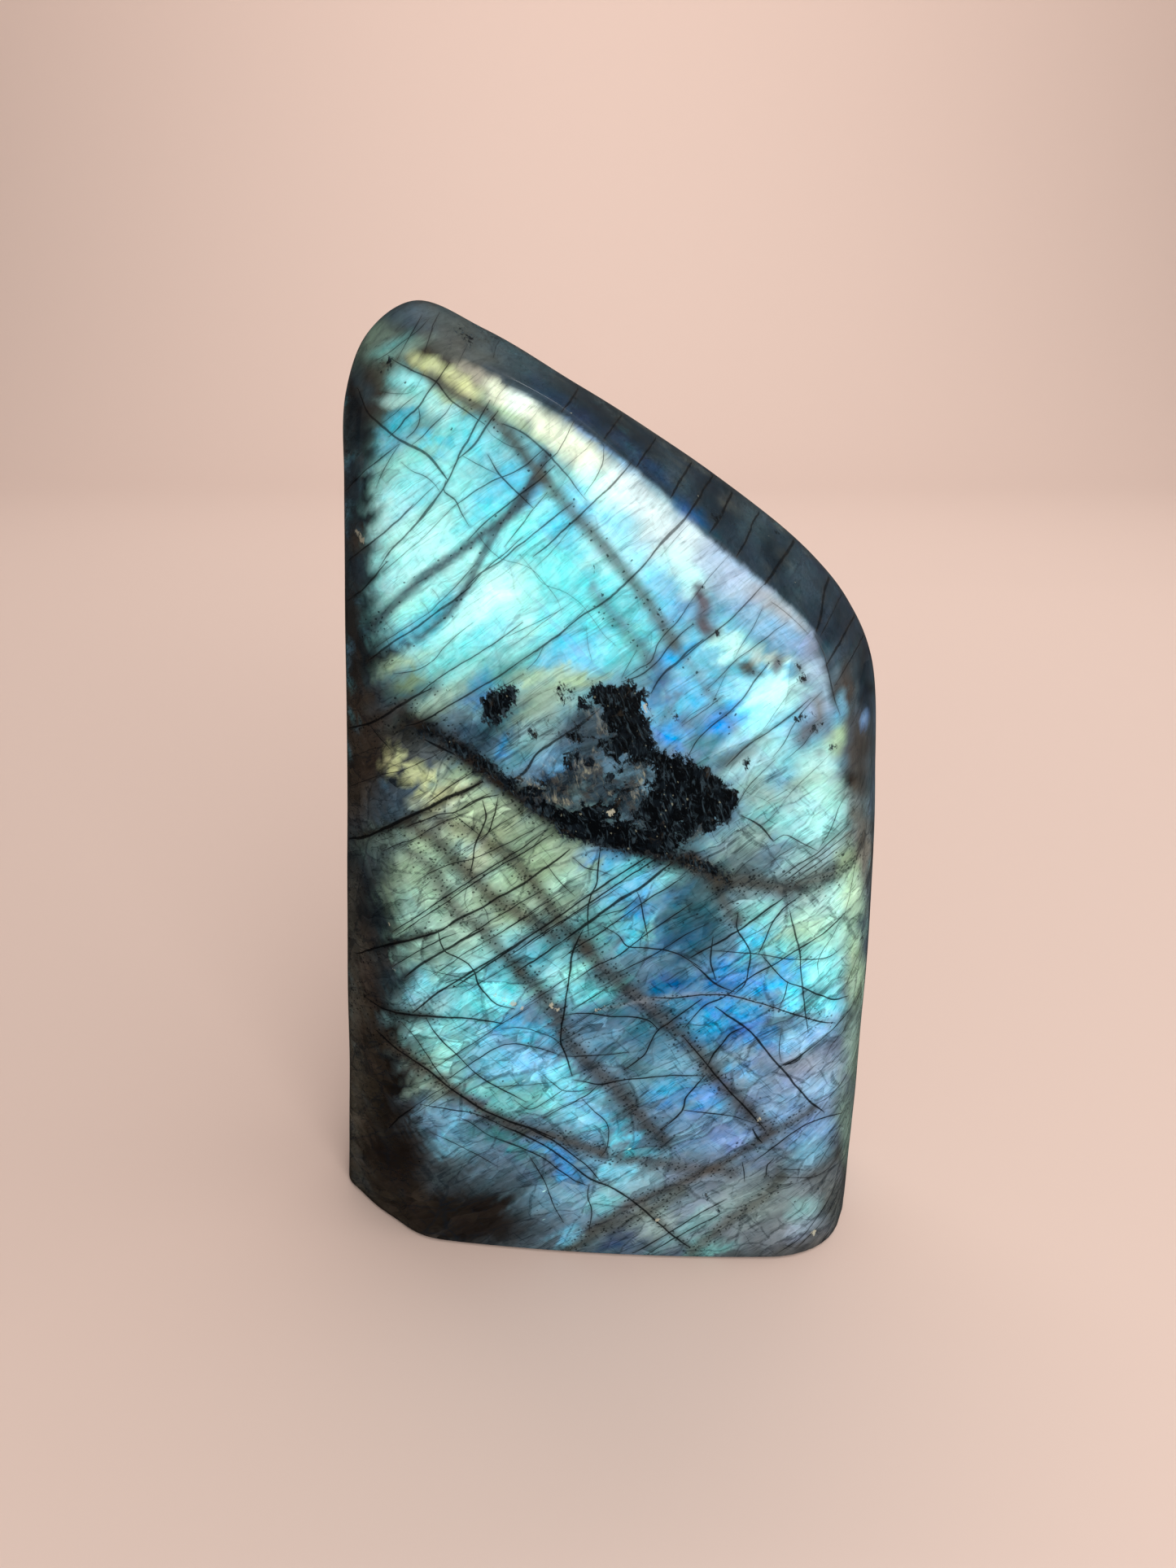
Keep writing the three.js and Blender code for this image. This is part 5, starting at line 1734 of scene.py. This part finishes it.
    # Faint straight lines along the layers and across them, and the edges of the cells
    layers = linesIn(layersAt(inMm, f["rise"], 0.018, 2.0), 0.75, 0.022, 0.8)
    quiet = bench.math("MULTIPLY_ADD", busy, 0.7, 0.3)
    layers = bench.times(layers, bench.times(quiet, bench.ramp(clouds, 0.42, 0.56)))
    fine = linesIn(layersAt(inMm, f["rise"] + 5, 0.025, 1.2), 1.5, 0.035, 0.5)
    fine = bench.times(fine, bench.times(quiet, bench.ramp(lots, 0.45, 0.6)))
    cross = linesIn(layersAt(inMm, f["fall"], 0.05, 5.0), 0.34, 0.014, 0.55)
    cross = bench.times(cross, bench.ramp(lots, 0.42, 0.56))
    edge = bench.times(bench.ramp(wideEdges, 0.008, 0.03, 0.6, 0.0), bench.ramp(grain, 0.32, 0.55))
    small = bench.times(bench.ramp(smallEdges, 0.012, 0.05, 0.3, 0.0), bench.ramp(clouds, 0.38, 0.56))
    webs = bench.times(bench.sum(edge, small, cross), busy)
    lines = bench.math("MINIMUM", bench.sum(layers, fine, webs), 0.8)
    colour = bench.mix(lines, colour, bench.mix(0.8, colour, toneColour("inkBlue")))

    # Pepper in the soft bands
    specks = bench.cells(layersAt(inMm, f["rise"], 0.7, 0.0), 2.4)
    speck = bench.ramp(bench.sum(specks["Distance"], bench.stray(grain, 1.4)), 0.2, 0.42, 0.75, 0.0)
    scattered = bench.ramp(clouds, 0.55, 0.75, 0.0, 0.12)
    wanted = bench.times(bench.sum(bench.times(bench.attribute("pepper"), 0.6), scattered), busy)
    speck = bench.times(speck, bench.math("LESS_THAN", bench.parts(specks["Color"])[0], wanted))
    colour = bench.mix(speck, colour, toneColour("soot"))

    # Pale flecks, then the cracks and their soft surroundings
    flecks = bench.cells(layersAt(inMm, f["rise"], 0.32, 0.0), 0.9)
    fleck = bench.times(bench.ramp(flecks["Distance"], 0.06, 0.16, 0.75, 0.0), bench.attribute("flecks"))
    fleck = bench.times(fleck, bench.math("LESS_THAN", bench.parts(flecks["Color"])[0], 0.3))
    colour = bench.mix(fleck, colour, toneColour("paleMint"))
    halo = bench.times(bench.attribute("crackHalo"), bench.ramp(grain, 0.2, 0.7, 0.45, 0.9))
    haloTone = bench.mix(bench.ramp(lots, 0.4, 0.6), toneColour("inkBlue"), toneColour("umber"))
    colour = bench.mix(halo, colour, bench.mix(0.75, colour, haloTone))
    crack = bench.times(bench.attribute("crackDark"), bench.sum(1.0, bench.stray(grain, 0.8)))
    crack = bench.ramp(crack, *f["crackSharpness"])
    depth = bench.math("MULTIPLY_ADD", busy, 0.28, 0.68)
    crackTone = bench.mix(0.1, toneColour("soot"), colour)
    colour = bench.mix(bench.times(crack, depth), colour, crackTone)

    # The black mineral, ragged at its edge and mixed with fibres of dull stone
    steep = layersAt(inMm, f["fibreTurn"], 0.35, 3.0)
    fibres = bench.noise(steep, 1.5, 6.0, 0.68, 1.0)["Fac"]
    shreds = bench.noise(inMm, 0.4, 6.0, 0.7, 0.8)["Fac"]
    mixed = bench.attribute("mixed")
    dull = bench.mix(bench.ramp(clouds, 0.4, 0.6), toneColour("dusk"), toneColour("nightSlate"))
    dull = bench.glaze(dull, "slate", fineStreaks, 0.46, 0.6, 0.5)
    dull = bench.glaze(dull, "umber", lots, 0.44, 0.6, 0.7)
    dull = bench.glaze(dull, "inkBlue", shreds, 0.47, 0.56, 0.9)
    strand = bench.attribute("strand")
    strands = bench.sum(fibres, bench.times(strand, 0.16))
    dull = bench.glaze(dull, "smoke", strands, 0.52, 0.6, 0.5)
    dull = bench.glaze(dull, "stone", strands, 0.61, 0.67, 0.9)
    palest = bench.sum(strands, bench.stray(grain, 0.4))
    dull = bench.glaze(dull, "tan", palest, 0.68, 0.76, 0.9)
    colour = bench.mix(bench.times(mixed, bench.ramp(clouds, 0.36, 0.56, 0.4, 0.95)), colour, dull)
    blots = bench.ramp(bench.noise(inMm, 0.11, 2.0)["Fac"], 0.62, 0.76)
    behindBlack = bench.times(blots, bench.attribute("behind"))
    black = bench.sum(
        bench.attribute("black"),
        behindBlack,
        bench.stray(fibres, 0.8),
        bench.stray(grain, 0.4),
        bench.stray(shreds, 0.8),
        bench.times(mixed, bench.sum(0.2, bench.stray(shreds, 1.3), bench.stray(lots, 0.8))),
        bench.times(strand, -0.3),
    )
    black = bench.ramp(black, 0.5, 0.64)
    flakes = bench.cells(layersAt(inMm, f["fibreTurn"], 0.7, 0.0), 2.4)
    flake = bench.ramp(bench.sum(flakes["Distance"], bench.stray(grain, 2.0)), 0.08, 0.26, 0.6, 0.0)
    flake = bench.times(flake, bench.math("LESS_THAN", bench.parts(flakes["Color"])[0], 0.09))
    blackTone = bench.mix(bench.ramp(fibres, 0.5, 0.66, 0.0, 0.6), toneColour("soot"), toneColour("slate"))
    blackTone = bench.glaze(blackTone, "inkBlue", lots, 0.5, 0.66, 0.5)
    blackTone = bench.glaze(blackTone, "umber", shreds, 0.6, 0.7, 0.4)
    blackTone = bench.mix(flake, blackTone, toneColour("tan"))
    colour = bench.mix(black, colour, blackTone)
    crumb = bench.ramp(bench.sum(bench.attribute("crumb"), bench.stray(grain, 1.6)), 0.52, 0.66, 0.0, 0.7)
    colour = bench.mix(crumb, colour, toneColour("chip"))

    shader = bench.add("ShaderNodeBsdfPrincipled")
    bench.feed(shader.inputs["Base Color"], colour)
    rough = bench.ramp(bench.math("MAXIMUM", crack, black), 0.0, 1.0, *f["roughness"])
    rough = bench.math("MULTIPLY_ADD", bench.attribute("worn"), f["wornRoughness"], rough)
    bench.feed(shader.inputs["Roughness"], rough)
    shader.inputs["IOR"].default_value = f["index"]
    shader.inputs["Specular IOR Level"].default_value = f["gloss"]
    relief = bench.add("ShaderNodeBump")
    relief.inputs["Strength"].default_value, relief.inputs["Distance"].default_value = f["relief"]
    pits = bench.times(black, bench.times(fibres, -0.8))
    bench.feed(relief.inputs["Height"], bench.sum(bench.times(crack, -0.6), pits))
    bench.feed(shader.inputs["Normal"], relief.outputs["Normal"])
    out = bench.add("ShaderNodeOutputMaterial")
    bench.feed(out.inputs["Surface"], shader.outputs["BSDF"])
    return material


stone.data.materials.append(makeLabradorite())
print("labradorite made")

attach(stone, "root")
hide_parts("stone")

# The floor runs back and curves up behind the stone, in metres
floorSetting = {
    "width": 3.0,
    "front": -1.2,
    "bend": 0.9,
    "radius": 0.6,
    "height": 1.6,
    "steps": 16,
    "colour": (0.71, 0.53, 0.45),
    "roughness": 0.8,
}


def makeFloor():
    s = floorSetting
    profile = [(s["front"], 0.0), (s["bend"], 0.0)]
    for step in range(1, s["steps"] + 1):
        angle = math.pi / 2 * step / s["steps"]
        profile.append((s["bend"] + s["radius"] * math.sin(angle), s["radius"] * (1 - math.cos(angle))))
    profile.append((s["bend"] + s["radius"], s["height"]))
    points, faces = [], []
    for y, z in profile:
        points += [(-s["width"] / 2, y, z), (s["width"] / 2, y, z)]
    for step in range(len(profile) - 1):
        a = step * 2
        faces.append((a, a + 1, a + 3, a + 2))
    mesh = bpy.data.meshes.new("floor")
    mesh.from_pydata(points, [], faces)
    mesh.shade_smooth()
    return mesh


def plainPaint(name, setting):
    paint = bpy.data.materials.new(name)
    paint.use_nodes = True
    shader = paint.node_tree.nodes["Principled BSDF"]
    shader.inputs["Base Color"].default_value = (*setting["colour"], 1)
    shader.inputs["Roughness"].default_value = setting["roughness"]
    return paint


floor = addObject("floor", makeFloor())
floor.data.materials.append(plainPaint("pale floor", floorSetting))
floor.visible_glossy = False

# A dark sheet under and behind the stone that only reflections see, so that the ground top stays dark
cardSetting = {
    "side": 1.2,
    "front": -0.9,
    "back": 0.5,
    "under": -0.001,
    "top": 0.5,
    "colour": (0.05, 0.045, 0.04),
    "roughness": 0.9,
}


def makeCard():
    s = cardSetting
    left, right, front, back, under, top = -s["side"], s["side"], s["front"], s["back"], s["under"], s["top"]
    sheet = [(left, front, under), (right, front, under), (right, back, under), (left, back, under)]
    mesh = bpy.data.meshes.new("dark card")
    mesh.from_pydata(sheet + [(right, back, top), (left, back, top)], [], [(0, 1, 2, 3), (3, 2, 4, 5)])
    return mesh


card = addObject("dark card", makeCard())
card.visible_camera = card.visible_diffuse = card.visible_shadow = card.visible_transmission = False
card.data.materials.append(plainPaint("card black", cardSetting))

camera = addObject("camera", bpy.data.cameras.new("camera"))
camera.location = eye * mm
camera.rotation_euler = (math.pi / 2 - lookDown, 0, 0)
camera.data.sensor_width = cameraSetting["sensor"]
camera.data.lens = cameraSetting["focal"] / cameraSetting["imageHeight"] * cameraSetting["sensor"]
camera.data.clip_start = 0.01
bpy.context.scene.camera = camera

# Soft daylight from the upper right, a smaller box in front, one on the backdrop, and a pale sky
lightSetting = {
    "key": {"place": (0.55, -0.35, 0.75), "target": (0, 0, 0.06), "size": (1.5, 1.5), "power": 10.5},
    "front": {"place": (0.2, -0.56, 0.2), "target": (0, 0, 0.08), "size": (0.3, 0.3), "power": 2.3},
    "backdrop": {"place": (0.0, 0.5, 1.1), "target": (0, 1.3, 0.35), "size": (0.9, 0.4), "power": 10},
    "sky": 0.22,
}


def addSoftbox(name):
    s = lightSetting[name]
    data = bpy.data.lights.new(name, "AREA")
    data.shape = "RECTANGLE"
    data.size, data.size_y = s["size"]
    data.energy = s["power"]
    light = addObject(name, data)
    light.location = s["place"]
    light.rotation_euler = (Vector(s["target"]) - Vector(s["place"])).to_track_quat("-Z", "Y").to_euler()


for name in ("key", "front", "backdrop"):
    addSoftbox(name)
world = bpy.data.worlds.new("studio")
world.use_nodes = True
world.node_tree.nodes["Background"].inputs["Color"].default_value = (1, 1, 1, 1)
world.node_tree.nodes["Background"].inputs["Strength"].default_value = lightSetting["sky"]
bpy.context.scene.world = world
bpy.context.scene.view_settings.view_transform = "Standard"

print("sizes kept")
